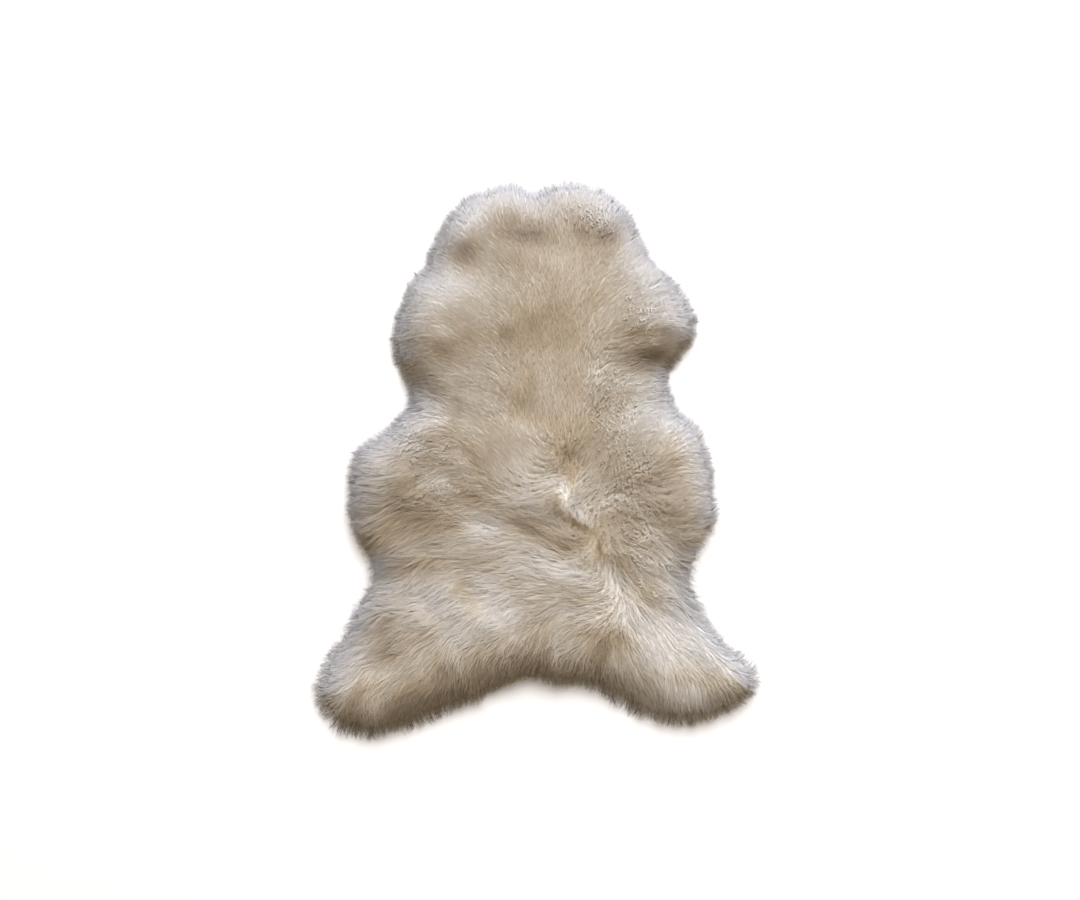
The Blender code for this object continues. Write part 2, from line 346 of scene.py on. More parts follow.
# Where the wool shows paler, above 0, or browner, below 0: partly where it lies closed on its pale tips or
# opens to its browner depth, and partly painted light and painted shade added to what the lamps give.  Place,
# half its length and width, how far its length is turned from +X, and how much.
PATCHES = (
    ("back, the whole of it", 0.035, 0.14, 0.100, 0.14, 0, -0.6),
    ("croup, the whole of it", -0.03, -0.225, 0.15, 0.080, 0, 0.3),
    ("right thigh, the whole of it", 0.24, -0.28, 0.070, 0.055, 0, 1.7),
    ("right of the back, the whole of it", 0.155, -0.04, 0.060, 0.090, 0, -0.7),
    ("left hip, rim", -0.262, -0.180, 0.020, 0.020, 0, -1.9),
    ("right hip, rim", 0.255, -0.165, 0.018, 0.036, 0, -1.6),
    ("behind the right shoulder", 0.185, 0.213, 0.034, 0.014, 0, -1.4),
    ("brow, the whole of it", 0.03, 0.34, 0.100, 0.050, 0, -0.7),
    ("left brow", -0.125, 0.408, 0.038, 0.022, 20, 1.5),
    ("nose, middle", -0.03, 0.415, 0.060, 0.020, 0, -0.8),
    ("left temple", -0.132, 0.352, 0.034, 0.022, -25, -2.3),
    ("forehead", -0.012, 0.378, 0.038, 0.013, 3, -1.2),
    ("forehead, left", -0.055, 0.388, 0.018, 0.018, 0, -0.6),
    ("right temple", 0.115, 0.375, 0.032, 0.022, -10, -1.2),
    ("right temple, inside", 0.07, 0.388, 0.012, 0.012, 0, -0.7),
    ("forehead, low", -0.025, 0.325, 0.014, 0.018, 0, -0.4),
    ("brow, right", 0.025, 0.338, 0.030, 0.020, 0, 0.9),
    ("left shoulder, crest", -0.15, 0.288, 0.045, 0.018, -5, 1.4),
    ("left shoulder, outside", -0.200, 0.290, 0.032, 0.032, 30, 4.2),
    ("right shoulder, outside", 0.250, 0.222, 0.024, 0.030, 0, 1.7),
    ("right shoulder, crest", 0.215, 0.29, 0.035, 0.020, -45, 0.5),
    ("nape", -0.005, 0.235, 0.038, 0.024, 35, -0.8),
    ("nape, left", -0.055, 0.212, 0.024, 0.014, 15, -0.9),
    ("left shoulder, low", -0.16, 0.188, 0.034, 0.019, 15, -1.3),
    ("inside the left shoulder", -0.11, 0.205, 0.020, 0.012, 0, -0.6),
    ("left shoulder, lock", -0.16, 0.215, 0.016, 0.007, 0, 0.5),
    ("under the left shoulder", -0.185, 0.120, 0.034, 0.016, -10, -1.3),
    ("under the right shoulder", 0.195, 0.172, 0.034, 0.018, 0, -1.8),
    ("right waist", 0.17, 0.135, 0.040, 0.018, -20, 0.8),
    ("right flank, top", 0.210, 0.077, 0.050, 0.020, 0, 1.8),
    ("right flank, outside", 0.266, -0.06, 0.022, 0.040, 0, -0.7),
    ("right flank, hollow", 0.235, 0.0, 0.028, 0.045, 0, -0.9),
    ("left waist", -0.20, 0.068, 0.032, 0.020, 10, 2.6),
    ("left flank, top", -0.27, 0.012, 0.034, 0.022, 40, 0.4),
    ("withers", -0.04, 0.108, 0.032, 0.014, 0, -0.8),
    ("withers, right", -0.01, 0.135, 0.020, 0.020, 0, -0.6),
    ("left of the withers", -0.12, 0.142, 0.030, 0.010, 0, 0.6),
    ("left of the withers, low", -0.13, 0.112, 0.030, 0.010, -30, 0.5),
    ("left waist, spot", -0.13, 0.09, 0.015, 0.010, 0, -0.7),
    ("left of the back", -0.11, 0.035, 0.025, 0.015, 0, -0.1),
    ("right of the withers", 0.115, 0.098, 0.020, 0.012, 0, -0.7),
    ("right waist, spot", 0.155, 0.107, 0.015, 0.008, 0, -0.6),
    ("above the dent, right", 0.085, 0.065, 0.022, 0.026, 0, -0.5),
    ("above the dent, left", -0.02, 0.055, 0.030, 0.016, -30, 0.5),
    ("dent", 0.052, -0.010, 0.022, 0.020, 0, -0.6),
    ("dent, lip", 0.055, 0.02, 0.035, 0.010, 0, -0.7),
    ("left flank, hollow", -0.17, 0.03, 0.030, 0.020, 0, -0.4),
    ("behind the left flank", -0.12, 0.018, 0.028, 0.014, -45, -0.8),
    ("left flank, middle", -0.20, -0.005, 0.030, 0.010, 0, -0.7),
    ("left flank, back", -0.10, 0.0, 0.020, 0.016, 0, -0.6),
    ("left flank, rim", -0.290, -0.040, 0.030, 0.020, 0, 1.2),
    ("left flank, crest", -0.183, -0.045, 0.024, 0.014, -25, 1.3),
    ("left flank, lock", -0.155, -0.057, 0.012, 0.008, 0, 0.7),
    ("left flank, low", -0.24, -0.078, 0.030, 0.020, 0, -0.7),
    ("left flank, deep", -0.195, -0.082, 0.022, 0.018, 0, -0.9),
    ("left flank, deep, low", -0.18, -0.112, 0.045, 0.013, -10, -0.9),
    ("left flank, low rim", -0.29, -0.11, 0.015, 0.010, 0, 0.6),
    ("back, left", -0.12, -0.065, 0.036, 0.012, -25, -1.1),
    ("back, low", -0.088, -0.085, 0.015, 0.012, 0, -0.9),
    ("back, middle", -0.03, -0.045, 0.050, 0.032, -20, 0.4),
    ("tuft under the dent", 0.035, -0.047, 0.040, 0.018, -30, 1.8),
    ("tuft, tip", 0.052, -0.082, 0.026, 0.014, -40, -1.9),
    ("curls", 0.15, -0.015, 0.045, 0.030, 0, -0.4),
    ("curls, outside", 0.20, -0.030, 0.014, 0.014, 0, -0.7),
    ("curls, low", 0.150, -0.125, 0.018, 0.018, 0, 0.2),
    ("right flank, rim", 0.285, -0.05, 0.018, 0.050, 0, 0.4),
    ("right flank, low", 0.225, -0.095, 0.034, 0.018, 0, -1.0),
    ("right flank, low rim", 0.265, -0.100, 0.026, 0.022, 0, -0.4),
    ("loin, upper band", 0.03, -0.092, 0.050, 0.011, -30, -1.0),
    ("loin, lower band", -0.01, -0.122, 0.052, 0.014, -30, -1.4),
    ("loin, middle", 0.035, -0.135, 0.026, 0.013, 0, -1.0),
    ("loin, right", 0.100, -0.12, 0.026, 0.030, 0, -1.4),
    ("loin, right, low", 0.110, -0.168, 0.034, 0.026, 0, -1.5),
    ("loin, left lock", -0.10, -0.12, 0.032, 0.017, 10, 1.9),
    ("loin, left", -0.04, -0.190, 0.040, 0.014, -15, 0.7),
    ("loin, spot", -0.097, -0.178, 0.016, 0.010, -30, -1.5),
    ("left hip, lock", -0.225, -0.16, 0.038, 0.016, 0, 0.6),
    ("left hip, low", -0.215, -0.192, 0.050, 0.013, 8, -1.4),
    ("croup, crest", 0.02, -0.182, 0.034, 0.013, -20, 1.7),
    ("croup, crest, right", 0.08, -0.205, 0.032, 0.010, -22, 0.8),
    ("right hip, lock", 0.215, -0.15, 0.045, 0.014, -60, 0.9),
    ("right of the loin, lock", 0.16, -0.065, 0.050, 0.014, -35, 0.9),
    ("right hip, deep", 0.16, -0.187, 0.032, 0.018, -30, -1.0),
    ("right hip, low", 0.205, -0.245, 0.022, 0.026, 0, -2.0),
    ("croup, deep", 0.055, -0.23, 0.026, 0.013, -35, -0.9),
    ("croup, upper", 0.015, -0.21, 0.030, 0.008, 0, -0.5),
    ("croup, left", -0.018, -0.255, 0.024, 0.016, -60, -0.4),
    ("croup, low", -0.01, -0.292, 0.050, 0.010, 0, -0.6),
    ("left ridge", -0.18, -0.250, 0.046, 0.028, -40, 2.2),
    ("middle ridge", -0.07, -0.265, 0.045, 0.022, -40, 1.5),
    ("left leg, lock", -0.15, -0.310, 0.026, 0.014, 0, 1.6),
    ("left leg, inside", -0.14, -0.350, 0.024, 0.013, 0, 0.8),
    ("left leg, crest", -0.20, -0.352, 0.030, 0.020, 20, 0.6),
    ("left leg, top", -0.272, -0.272, 0.026, 0.014, -35, -1.1),
    ("left leg, hollow", -0.265, -0.320, 0.020, 0.030, 0, -1.1),
    ("left leg, spot", -0.26, -0.338, 0.018, 0.007, 0, -0.6),
    ("rump, left lock", -0.055, -0.32, 0.022, 0.013, 0, 0.9),
    ("rump, hem", 0.0, -0.345, 0.085, 0.020, 0, -1.1),
    ("rump, right lock", 0.050, -0.328, 0.026, 0.014, -20, 1.3),
    ("over the rump", 0.05, -0.270, 0.026, 0.014, 0, 1.1),
    ("over the rump, right", 0.145, -0.29, 0.034, 0.018, 0, 1.6),
    ("right thigh, inside", 0.125, -0.235, 0.032, 0.024, 0, 1.6),
    ("rump, deep", 0.107, -0.330, 0.030, 0.018, 70, -1.3),
    ("right leg", 0.22, -0.335, 0.038, 0.032, 0, 1.3),
    ("right leg, inside", 0.145, -0.322, 0.022, 0.024, 0, -0.7),
    ("right foot, outside", 0.325, -0.345, 0.042, 0.022, -42, 0.9),
    ("right foot, lock", 0.268, -0.41, 0.022, 0.018, 0, 1.4),
    ("right foot, spot", 0.29, -0.395, 0.010, 0.012, 60, -0.9),
    ("left foot, outside", -0.330, -0.37, 0.020, 0.026, 0, 0.5),
    ("left foot, crest", -0.27, -0.375, 0.022, 0.016, 0, 0.6),
    ("left foot, lock", -0.265, -0.425, 0.022, 0.020, 0, 0.5),
    ("left flank, the whole of it", -0.23, -0.13, 0.07, 0.09, 0, -0.6),
    ("left leg, the whole of it", -0.23, -0.33, 0.07, 0.06, 0, -0.3),
    ("left leg, hem", -0.17, -0.385, 0.080, 0.020, 18, -1.0),
    ("left flank, hollow, low", -0.225, -0.05, 0.020, 0.020, 0, -1.0),
    ("behind the left flank, low", -0.15, -0.12, 0.030, 0.016, -30, -0.7),
    ("back, left of the middle", -0.08, 0.02, 0.020, 0.040, 0, -0.5),
    ("withers, low", -0.02, 0.08, 0.030, 0.030, 0, -0.6),
    ("nape, low", 0.0, 0.20, 0.070, 0.020, 5, -0.5),
    ("right cheek", 0.19, 0.310, 0.040, 0.030, -45, 1.2),
    ("left leg, rim", -0.285, -0.280, 0.025, 0.025, -30, -0.6),
    ("left flank, outside", -0.270, -0.045, 0.045, 0.035, 0, -0.6),
    ("above the dent", 0.045, 0.052, 0.055, 0.030, 0, -0.5),
    ("rump, upper", 0.080, -0.312, 0.030, 0.018, 0, -1.2),
    ("nose, the whole of it", 0.03, 0.395, 0.110, 0.035, 0, -0.35),
    ("brow, left", -0.07, 0.30, 0.060, 0.018, 0, 0.5),
    ("left cheek, low", -0.225, 0.205, 0.030, 0.035, 0, -0.5),
    ("right of the nape", 0.11, 0.27, 0.030, 0.020, 0, -0.5),
    ("right of the withers, up", 0.115, 0.150, 0.040, 0.022, 0, 0.6),
    ("croup, left of it", -0.10, -0.22, 0.018, 0.030, 0, 0.9),
    ("left foot, inside", -0.235, -0.425, 0.034, 0.014, 0, -1.6),
    ("left shoulder, inside", -0.13, 0.235, 0.035, 0.020, 0, -0.6),
    ("under the left shoulder, rim", -0.225, 0.137, 0.018, 0.018, 0, 0.9),
    ("under the right shoulder, rim", 0.240, 0.165, 0.018, 0.014, 0, 1.2),
    ("left flank, inside", -0.19, 0.040, 0.030, 0.016, 20, -0.7),
    ("tuft, low", 0.085, -0.075, 0.020, 0.012, -20, 1.4),
    ("loin, left, low", -0.125, -0.145, 0.025, 0.014, -35, 0.7),
    ("right thigh, rim", 0.282, -0.280, 0.022, 0.060, 30, 4.0),
    ("left foot, spot", -0.300, -0.405, 0.026, 0.016, 0, -1.7),
    ("rump, left, hem", -0.075, -0.362, 0.030, 0.016, 0, -1.1),
    ("right foot, hem", 0.215, -0.418, 0.110, 0.026, 0, 1.0),
    ("right leg, spot", 0.160, -0.320, 0.020, 0.014, 0, -0.9),
    ("under the right shoulder, low", 0.175, 0.147, 0.030, 0.012, 0, -1.0),
    ("left shoulder, low, inside", -0.135, 0.165, 0.030, 0.016, 0, -0.7),
    ("back, left, up", -0.09, -0.035, 0.050, 0.025, -10, -0.5),
    ("croup, far left", -0.140, -0.240, 0.022, 0.026, 0, -1.2),
    ("left leg, low", -0.165, -0.355, 0.040, 0.035, 0, -0.7),
    ("left waist, rim", -0.250, 0.042, 0.030, 0.014, 40, 0.8),
    ("nose, left", -0.06, 0.418, 0.026, 0.018, 0, -0.8),
    ("right shoulder, rim", 0.255, 0.250, 0.026, 0.040, 0, 3.2),
    ("loin, spot, right", 0.140, -0.172, 0.018, 0.014, 0, 0.9),
    ("curls, spot", 0.145, -0.050, 0.022, 0.018, 0, 0.5),
    ("left flank, spot", -0.225, -0.090, 0.016, 0.014, 0, 0.9),
    ("croup, left lock", -0.095, -0.235, 0.022, 0.030, 20, 1.8),
    ("right of the loin, outside", 0.195, -0.14, 0.022, 0.030, 0, -0.8),
    ("left flank, back, low", -0.15, -0.065, 0.040, 0.018, 0, -0.5),
    ("right flank, top, outside", 0.232, 0.045, 0.022, 0.022, 0, -0.9),
    ("right temple, low", 0.135, 0.380, 0.022, 0.026, 0, -0.9),
    ("left waist, low", -0.205, 0.075, 0.026, 0.024, 0, 3.0),
    ("right waist, low", 0.225, 0.078, 0.024, 0.024, 0, 1.9),
    ("dent, left of it", -0.015, 0.005, 0.020, 0.020, -30, 0.3),
    ("dent, right of it", 0.078, -0.045, 0.016, 0.020, 0, 0.3),
    ("loin, right end", 0.110, -0.180, 0.022, 0.024, 60, -1.4),
    ("left hip, spot", -0.205, -0.198, 0.030, 0.014, -20, -1.1),
    ("left thigh, spot", -0.282, -0.280, 0.024, 0.024, -20, -1.6),
    ("left foot, top", -0.325, -0.432, 0.022, 0.012, 0, -1.0),
    ("left leg, inside, low", -0.130, -0.392, 0.024, 0.012, 20, -1.0),
    ("rump, spot", -0.050, -0.305, 0.030, 0.010, -40, -1.0),
    ("rump, spot, right", -0.002, -0.328, 0.018, 0.014, 0, -1.0),
    ("right hip, spot", 0.205, -0.235, 0.020, 0.012, 0, -0.9),
    ("right foot, top", 0.320, -0.365, 0.018, 0.014, 0, -1.1),
    ("right foot, spots", 0.250, -0.392, 0.050, 0.012, 0, -0.9),
    ("back, left of the tuft", -0.040, -0.060, 0.030, 0.022, 0, 0.6),
    ("curls, bright end", 0.165, -0.112, 0.030, 0.014, -20, -0.5),
    ("nose, tip", 0.045, 0.440, 0.070, 0.018, 0, -1.1),
    ("left thigh, inside", -0.245, -0.285, 0.020, 0.034, -20, 0.9),
    ("left foot, rim", -0.345, -0.425, 0.020, 0.024, 30, 1.4),
    ("nape, right", 0.045, 0.245, 0.040, 0.026, 0, -0.5),
    ("right flank, low, deep", 0.280, -0.125, 0.020, 0.018, 0, 1.4),
    ("croup, middle, low", -0.065, -0.215, 0.016, 0.024, 0, -0.9),
    ("left thigh, blue", -0.252, -0.212, 0.030, 0.014, 0, 1.3),
    ("left flank, rim, low", -0.308, -0.085, 0.018, 0.020, 0, -1.5),
    ("right hip, spot, up", 0.170, -0.212, 0.020, 0.012, 0, 0.7),
    ("left leg, ridge", -0.12, -0.190, 0.026, 0.010, 0, 0.2),
    ("left waist, brown", -0.180, 0.058, 0.022, 0.012, 20, -0.6),
    ("right thigh, blue", 0.150, -0.330, 0.022, 0.018, 0, -0.6),
)
PATCH_LEAST, PATCH_MOST = -2.0, 1.6  # past which patches that overlap add up no further
PATCH_TILT = 0.09  # closed wool slopes down to the nose this much, and open wool up

# Where the wool spills past the outline by more or less: place, reach, how much.
TRIMS = (
    ("nose, left", -0.105, 0.446, 0.022, -0.009),
    ("nose, notch", 0.012, 0.458, 0.015, 0.007),
    ("right temple", 0.172, 0.385, 0.025, -0.006),
    ("right cheek", 0.206, 0.333, 0.030, -0.026),
    ("right shoulder", 0.262, 0.192, 0.035, 0.032),
    ("right waist", 0.240, 0.088, 0.028, -0.009),
    ("right flank", 0.306, -0.060, 0.042, -0.016),
    ("right hip", 0.272, -0.188, 0.042, -0.028),
    ("right thigh", 0.320, -0.305, 0.050, -0.009),
    ("right foot", 0.235, -0.445, 0.040, 0.010),
    ("right leg, inside", 0.140, -0.406, 0.042, 0.028),
    ("rump", -0.030, -0.384, 0.040, -0.019),
    ("left leg, inside", -0.175, -0.435, 0.050, 0.012),
    ("left foot", -0.322, -0.454, 0.045, 0.026),
    ("left thigh", -0.328, -0.290, 0.036, -0.016),
    ("left hip", -0.290, -0.195, 0.045, -0.026),
    ("left flank", -0.320, -0.080, 0.070, -0.013),
    ("left flank, top", -0.263, 0.044, 0.028, -0.007),
    ("left waist", -0.222, 0.100, 0.034, -0.014),
)
SHOWN_SHORT, SHOWN_LONG = 0.012, 0.028  # how far ahead of its root plain and curly wool shows
SHOWN_ROOM = 0.8  # but no further than this share of the way to the outline
REAR_START, REAR_FADE, REAR_CURL = 0.05, 0.12, 0.6  # from the back to the rump the wool is this much curlier
OUT_EVENING, OUT_REACH = 4, 2  # how the outline is evened to tell the way out of it
BATCHES = 40  # that the vertices are taken in, to save memory
NEARLY_ALONG = 1e-9  # so that a way along a stretch of the outline doesn't divide by nothing
ROOM_MOST = 1.0  # where the way never meets the outline
RIM_FIRMNESS = 1.2  # of the wool that points out at the rim, where a stroke's own is 1 at most
WANDER_PLAIN, WANDER_CURLY = 8, 14  # degrees that plain wool wanders off its way, and curly wool on top
WANDER_SWINGS = ((0.055, 3.3, 1.0), (0.024, 8.1, 0.4))  # size, seed and share of each
RIM_NEATNESS = 0.8  # share of that wandering that the rim is spared
HEAP_PLAIN, HEAP_CURLY = 0.0006, 0.0008  # height of the chance swells of plain wool, and curly wool on top
HEAP_SWINGS = ((0.055, 1.7, 1.0), (0.026, 5.9, 0.5))
CLOUD_SWINGS = ((0.04, 11.3, 0.05), (0.018, 7.7, 0.05))  # chance changes of shade
CROWN_FOOT, CROWN_FADE = 0.012, 0.012  # over this height the wool is crown and no longer rim
SAG_FILLED = 0.55  # share of the solid's swells and hollows that the wool evens out
PLAIN_LOFT = 0.0035  # plain wool stands this much higher than curly wool
LIE_SLOPE, LIE_START = 1.3, -0.15  # how flat wool lies for how firmly it is combed
PLAIN_STEP, PLAIN_REACH = 0.006, 0.009  # distances from the rim that the mean height is taken at
HOLLOW_ROUNDS = 12  # of evening, which tell a hollow from the lie of the wool round it
HOLLOW_DEPTH = 0.004  # of a full hollow
PAINTED_RIM_MOST, PAINTED_RIM_REACH, PAINTED_RIM_SPREAD = 1.3, 0.0175, 0.008  # of the painted sky light, a paler and bluer tint, on the wool round the edge
PAINTED_RIM_START, PAINTED_RIM_FADE = 0.45, 0.3  # it is left out where the rim faces the rump
PAINTED_RIM_FOOT, PAINTED_RIM_LEAST = 0.018, 0.5  # and weaker near the floor
PAINTED_HIGHLIGHT_PLACE, PAINTED_HIGHLIGHT_REACH, PAINTED_HIGHLIGHT_TURN = 0.026, 0.022, 2.2  # of the painted highlight, a bright band along the nose's side, where the rim faces the window
PAINTED_RUMP_MOST, PAINTED_RUMP_REACH, PAINTED_RUMP_TURN = 1.25, 0.022, 1.3  # of the painted shade, a dark band along the rump's side, where the rim faces away from the window
SHADE_START = 0.42  # the depth that shows on level wool, and what each effect changes it by
# Sag and hollows darken the wool, partly as browner parted wool and partly as painted shade; patches add
# tone, painted light and painted shade; the rump's band is painted shade and the nose's band painted
# highlight.
SAG_SHADE, HOLLOW_SHADE, PALE_SHADE, PAINTED_RUMP_SHADE, PAINTED_HIGHLIGHT_SHADE = 10.0, 0.10, -0.28, 0.38, -0.26
TRIMMED_MOST, TRIMMED_TURN, TRIMMED_START = 0.6, 1.5, 0.3  # of the shorter fringe towards the rump
SPILL_REACH = 0.06

PAINTED_RIM_LIGHT_TINT = (0.815, 0.83, 0.885)  # painted sky light: the paler, bluer tint of the wool round the edge
PAINTED_EDGE_SHADE = (0.53, 0.54, 0.60)  # painted shade: the darker tint of the outermost fibres past the edge, against the floor
WOOL_TINTS = (  # from the palest tips to the deepest roots
    (0.0, (0.95, 0.917, 0.875)),
    (0.2, (0.86, 0.804, 0.73)),
    (0.42, (0.725, 0.655, 0.55)),
    (0.7, (0.55, 0.45, 0.325)),
    (1.0, (0.30, 0.23, 0.155)),
)
FELT_GRAIN = {"Scale": 420.0, "Detail": 4.0, "Roughness": 0.7}
FLECK_SHARE, FLECK_START = 0.5, -0.18  # how that grain changes the depth that the felt shows
UNDERSIDE = 0.0005  # what is lower than this belongs to the flat underside
FOG_DEPTHS, FOG_EDGE = 2, 0.5  # the fog fades over this many depths, and the felt ends at half of it


def math_of(tree, operation, *terms):
    """One sum on numbers in a tree."""
    return put(tree, "ShaderNodeMath", *terms, operation=operation)


def sum_of(tree, *terms):
    """The sum of two or more numbers."""
    total = terms[0]
    for term in terms[1:]:
        total = math_of(tree, "ADD", total, term)
    return total


def times(tree, *factors):
    """The product of two or more numbers."""
    product = factors[0]
    for factor in factors[1:]:
        product = math_of(tree, "MULTIPLY", product, factor)
    return product


def sloped(tree, value, slope, start):
    """A start and a slope times a value."""
    return math_of(tree, "MULTIPLY_ADD", value, slope, start)


def vector_of(tree, operation, *terms):
    """One sum on vectors in a tree."""
    return put(tree, "ShaderNodeVectorMath", *terms, operation=operation)


def scaled(tree, vector, amount):
    """A vector times a number."""
    return put(tree, "ShaderNodeVectorMath", vector, named={"Scale": amount}, operation="SCALE")


def stored(tree, geometry, name, value, data_type="FLOAT"):
    """A geometry that keeps a value at its points under a name."""
    kept = {"Geometry": geometry, "Name": name, "Value": value}
    return put(tree, "GeometryNodeStoreNamedAttribute", named=kept, data_type=data_type, domain="POINT")


def called(tree, name, data_type="FLOAT"):
    """The value that a geometry keeps under a name."""
    return put(tree, "GeometryNodeInputNamedAttribute", name, data_type=data_type)


def read(tree, name):
    """What a material reads of the value that a mesh keeps under a name."""
    node = tree.nodes.new("ShaderNodeAttribute")
    node.attribute_name = name
    return node.outputs


def new_tree(name, kind, outputs, **inputs):
    """An empty tree with named inputs and outputs, and its way in and out."""
    tree = bpy.data.node_groups.new(name, kind)
    for label, socket_kind in outputs.items():
        tree.interface.new_socket(label, in_out="OUTPUT", socket_type="NodeSocket" + socket_kind)
    for label, socket_kind in inputs.items():
        tree.interface.new_socket(label, in_out="INPUT", socket_type="NodeSocket" + socket_kind)
    return tree, tree.nodes.new("NodeGroupInput").outputs, tree.nodes.new("NodeGroupOutput").inputs


def grown(name, base, tree, **values):
    """A plain mesh object made by a tree from a base object and the values of its inputs."""
    modifier = base.modifiers.new(name, "NODES")
    modifier.node_group = tree
    for item in tree.interface.items_tree:
        if item.in_out == "INPUT" and item.name in values:
            modifier[item.identifier] = values[item.name]
    evaluated = base.evaluated_get(bpy.context.evaluated_depsgraph_get())
    mesh = bpy.data.meshes.new_from_object(evaluated)
    base.modifiers.remove(modifier)
    mesh.name = name
    return object_of(name, mesh)


def plain_copy(node, name):
    """A merged copy of a CAD node's loose triangles."""
    bm = merged_mesh(node)
    mesh = bpy.data.meshes.new(name)
    bm.to_mesh(mesh)
    bm.free()
    return object_of(name, mesh)


def undercoat_tree():
    """Draws a closed body in by a depth, on all sides but its flat underside."""
    tree, given, result = new_tree(
        "undercoat", "GeometryNodeTree", {"Geometry": "Geometry"}, Geometry="Geometry", Depth="Float",
        Grain="Float", Foot="Float", Material="Material",
    )
    place = put(tree, "GeometryNodeInputPosition")
    height = put(tree, "ShaderNodeSeparateXYZ", place).node.outputs["Z"]
    on_floor = math_of(tree, "LESS_THAN", height, UNDERSIDE)
    sunk = put(tree, "ShaderNodeCombineXYZ", 0, 0, math_of(tree, "SUBTRACT", given["Foot"], given["Depth"]))
    moved = {"Geometry": given["Geometry"], "Selection": on_floor, "Offset": sunk}
    lowered = put(tree, "GeometryNodeSetPosition", named=moved)
    band = times(tree, given["Depth"], FOG_DEPTHS)
    grid = {"Mesh": lowered, "Voxel Size": given["Grain"], "Interior Band Width": band}
    fog = put(tree, "GeometryNodeMeshToVolume", resolution_mode="VOXEL_SIZE", named=grid)
    body = put(tree, "GeometryNodeVolumeToMesh", named={"Volume": fog, "Threshold": FOG_EDGE})
    finished = put(tree, "GeometryNodeSetMaterial", named={"Geometry": body, "Material": given["Material"]})
    tree.links.new(finished, result["Geometry"])
    return tree


def tint_group():
    """The colour of wool that shows from a depth, 0 at its tips to 1 at its roots, with painted sky light
    round the rim and painted shade on the outermost fibres.
    """
    tree, given, result = new_tree("wool_tint", "ShaderNodeTree", {"Colour": "Color"}, Depth="Float")
    ramp = put(tree, "ShaderNodeValToRGB", given["Depth"])
    stops = ramp.node.color_ramp.elements
    for row in WOOL_TINTS[1:-1]:
        stops.new(row[0])
    for stop, row in zip(stops, WOOL_TINTS):
        stop.color = (*row[1], 1)
    # Painted sky light round the rim, and painted shade on the outermost fibres past the edge.
    painted_rim_light = read(tree, "painted_rim_light")["Fac"]
    wool_with_painted_sky_light = blend(tree, painted_rim_light, ramp, (*PAINTED_RIM_LIGHT_TINT, 1))
    painted_edge_amount = times(tree, painted_rim_light, read(tree, "edge")["Fac"])
    tree.links.new(blend(tree, painted_edge_amount, wool_with_painted_sky_light, (*PAINTED_EDGE_SHADE, 1)), result["Colour"])
    return tree


wool_tint = tint_group()
undercoat_cream, felt_shader = paint("undercoat_cream", roughness=0.95, specular=0.2)
felt = undercoat_cream.node_tree
felt_place = felt.nodes.new("ShaderNodeTexCoord").outputs["Object"]
speckle = put(felt, "ShaderNodeTexNoise", named={"Vector": felt_place, **FELT_GRAIN})
# The felt takes the coat's shade, painted light and shade included, with a grain of its own.
felt_depth = sum_of(felt, read(felt, "shade")["Fac"], sloped(felt, speckle, FLECK_SHARE, FLECK_START))
felt_tint = put(felt, "ShaderNodeGroup", node_tree=wool_tint, named={"Depth": felt_depth})
felt.links.new(felt_tint, felt_shader.inputs["Base Color"])

fleece = plain_copy(rug_solid, "fleece")
undercoat = grown(
    "undercoat", fleece, undercoat_tree(), Depth=UNDERCOAT_DEPTH, Grain=UNDERCOAT_GRAIN, Foot=UNDERCOAT_FOOT,
    Material=undercoat_cream,
)
undercoat.data.shade_smooth()


def stroke_at(places):
    """The directions that the wool is combed in at some places, shorter where the strokes disagree."""
    rows = np.array([row[1:] for row in STROKES])
    apart = np.sum((places[:, None, :] - rows[None, :, :2]) ** 2, axis=2)
    share = (apart + STROKE_REACH**2) ** -2
    angles = np.radians(rows[:, 2])
    combed = share @ np.stack([np.cos(angles), np.sin(angles)], axis=1)
    return combed / share.sum(axis=1)[:, None]


def rim_near(places, loop):
    """The distances to a loop and the directions out of it at the nearest points."""
    apart = np.linalg.norm(places[:, None, :] - loop[None, :, :], axis=2)
    nearest = apart.argmin(axis=1)
    ways = outwards(evened(loop, OUT_EVENING, OUT_REACH))[nearest]
    return apart[np.arange(len(places)), nearest], ways


def room_to(loop, places, ways):
    """How far each place is from a loop in the direction of its way."""
    ahead = np.roll(loop, -1, axis=0) - loop
    room = np.empty(len(places))
    for some in np.array_split(np.arange(len(places)), BATCHES):
        to_start = loop[None] - places[some, None]
        way = ways[some, None]
        facing = way[..., 0] * ahead[..., 1] - way[..., 1] * ahead[..., 0]
        facing = np.where(abs(facing) < NEARLY_ALONG, NEARLY_ALONG, facing)
        reach = (to_start[..., 0] * ahead[..., 1] - to_start[..., 1] * ahead[..., 0]) / facing
        share = (to_start[..., 0] * way[..., 1] - to_start[..., 1] * way[..., 0]) / facing
        hit = (share >= 0) & (share < 1) & (reach > 0)
        room[some] = np.where(hit, reach, ROOM_MOST).min(axis=1)
    return room


def humps(places, table):
    """What each row of a table, a place, half its width and height and an amount, comes to at some places."""
    rows = np.array([row[1:] for row in table])
    off = (places[:, None, :] - rows[None, :, :2]) / rows[None, :, 2:4]
    return rows[:, 4] * np.exp(-np.sum(off**2, axis=2))


def curl_at(places):
    """How curly the wool is at some places, from 0 for plain combed wool to 1."""
    share = humps(places, CURLS)
    return share.max(axis=1) + share.min(axis=1)


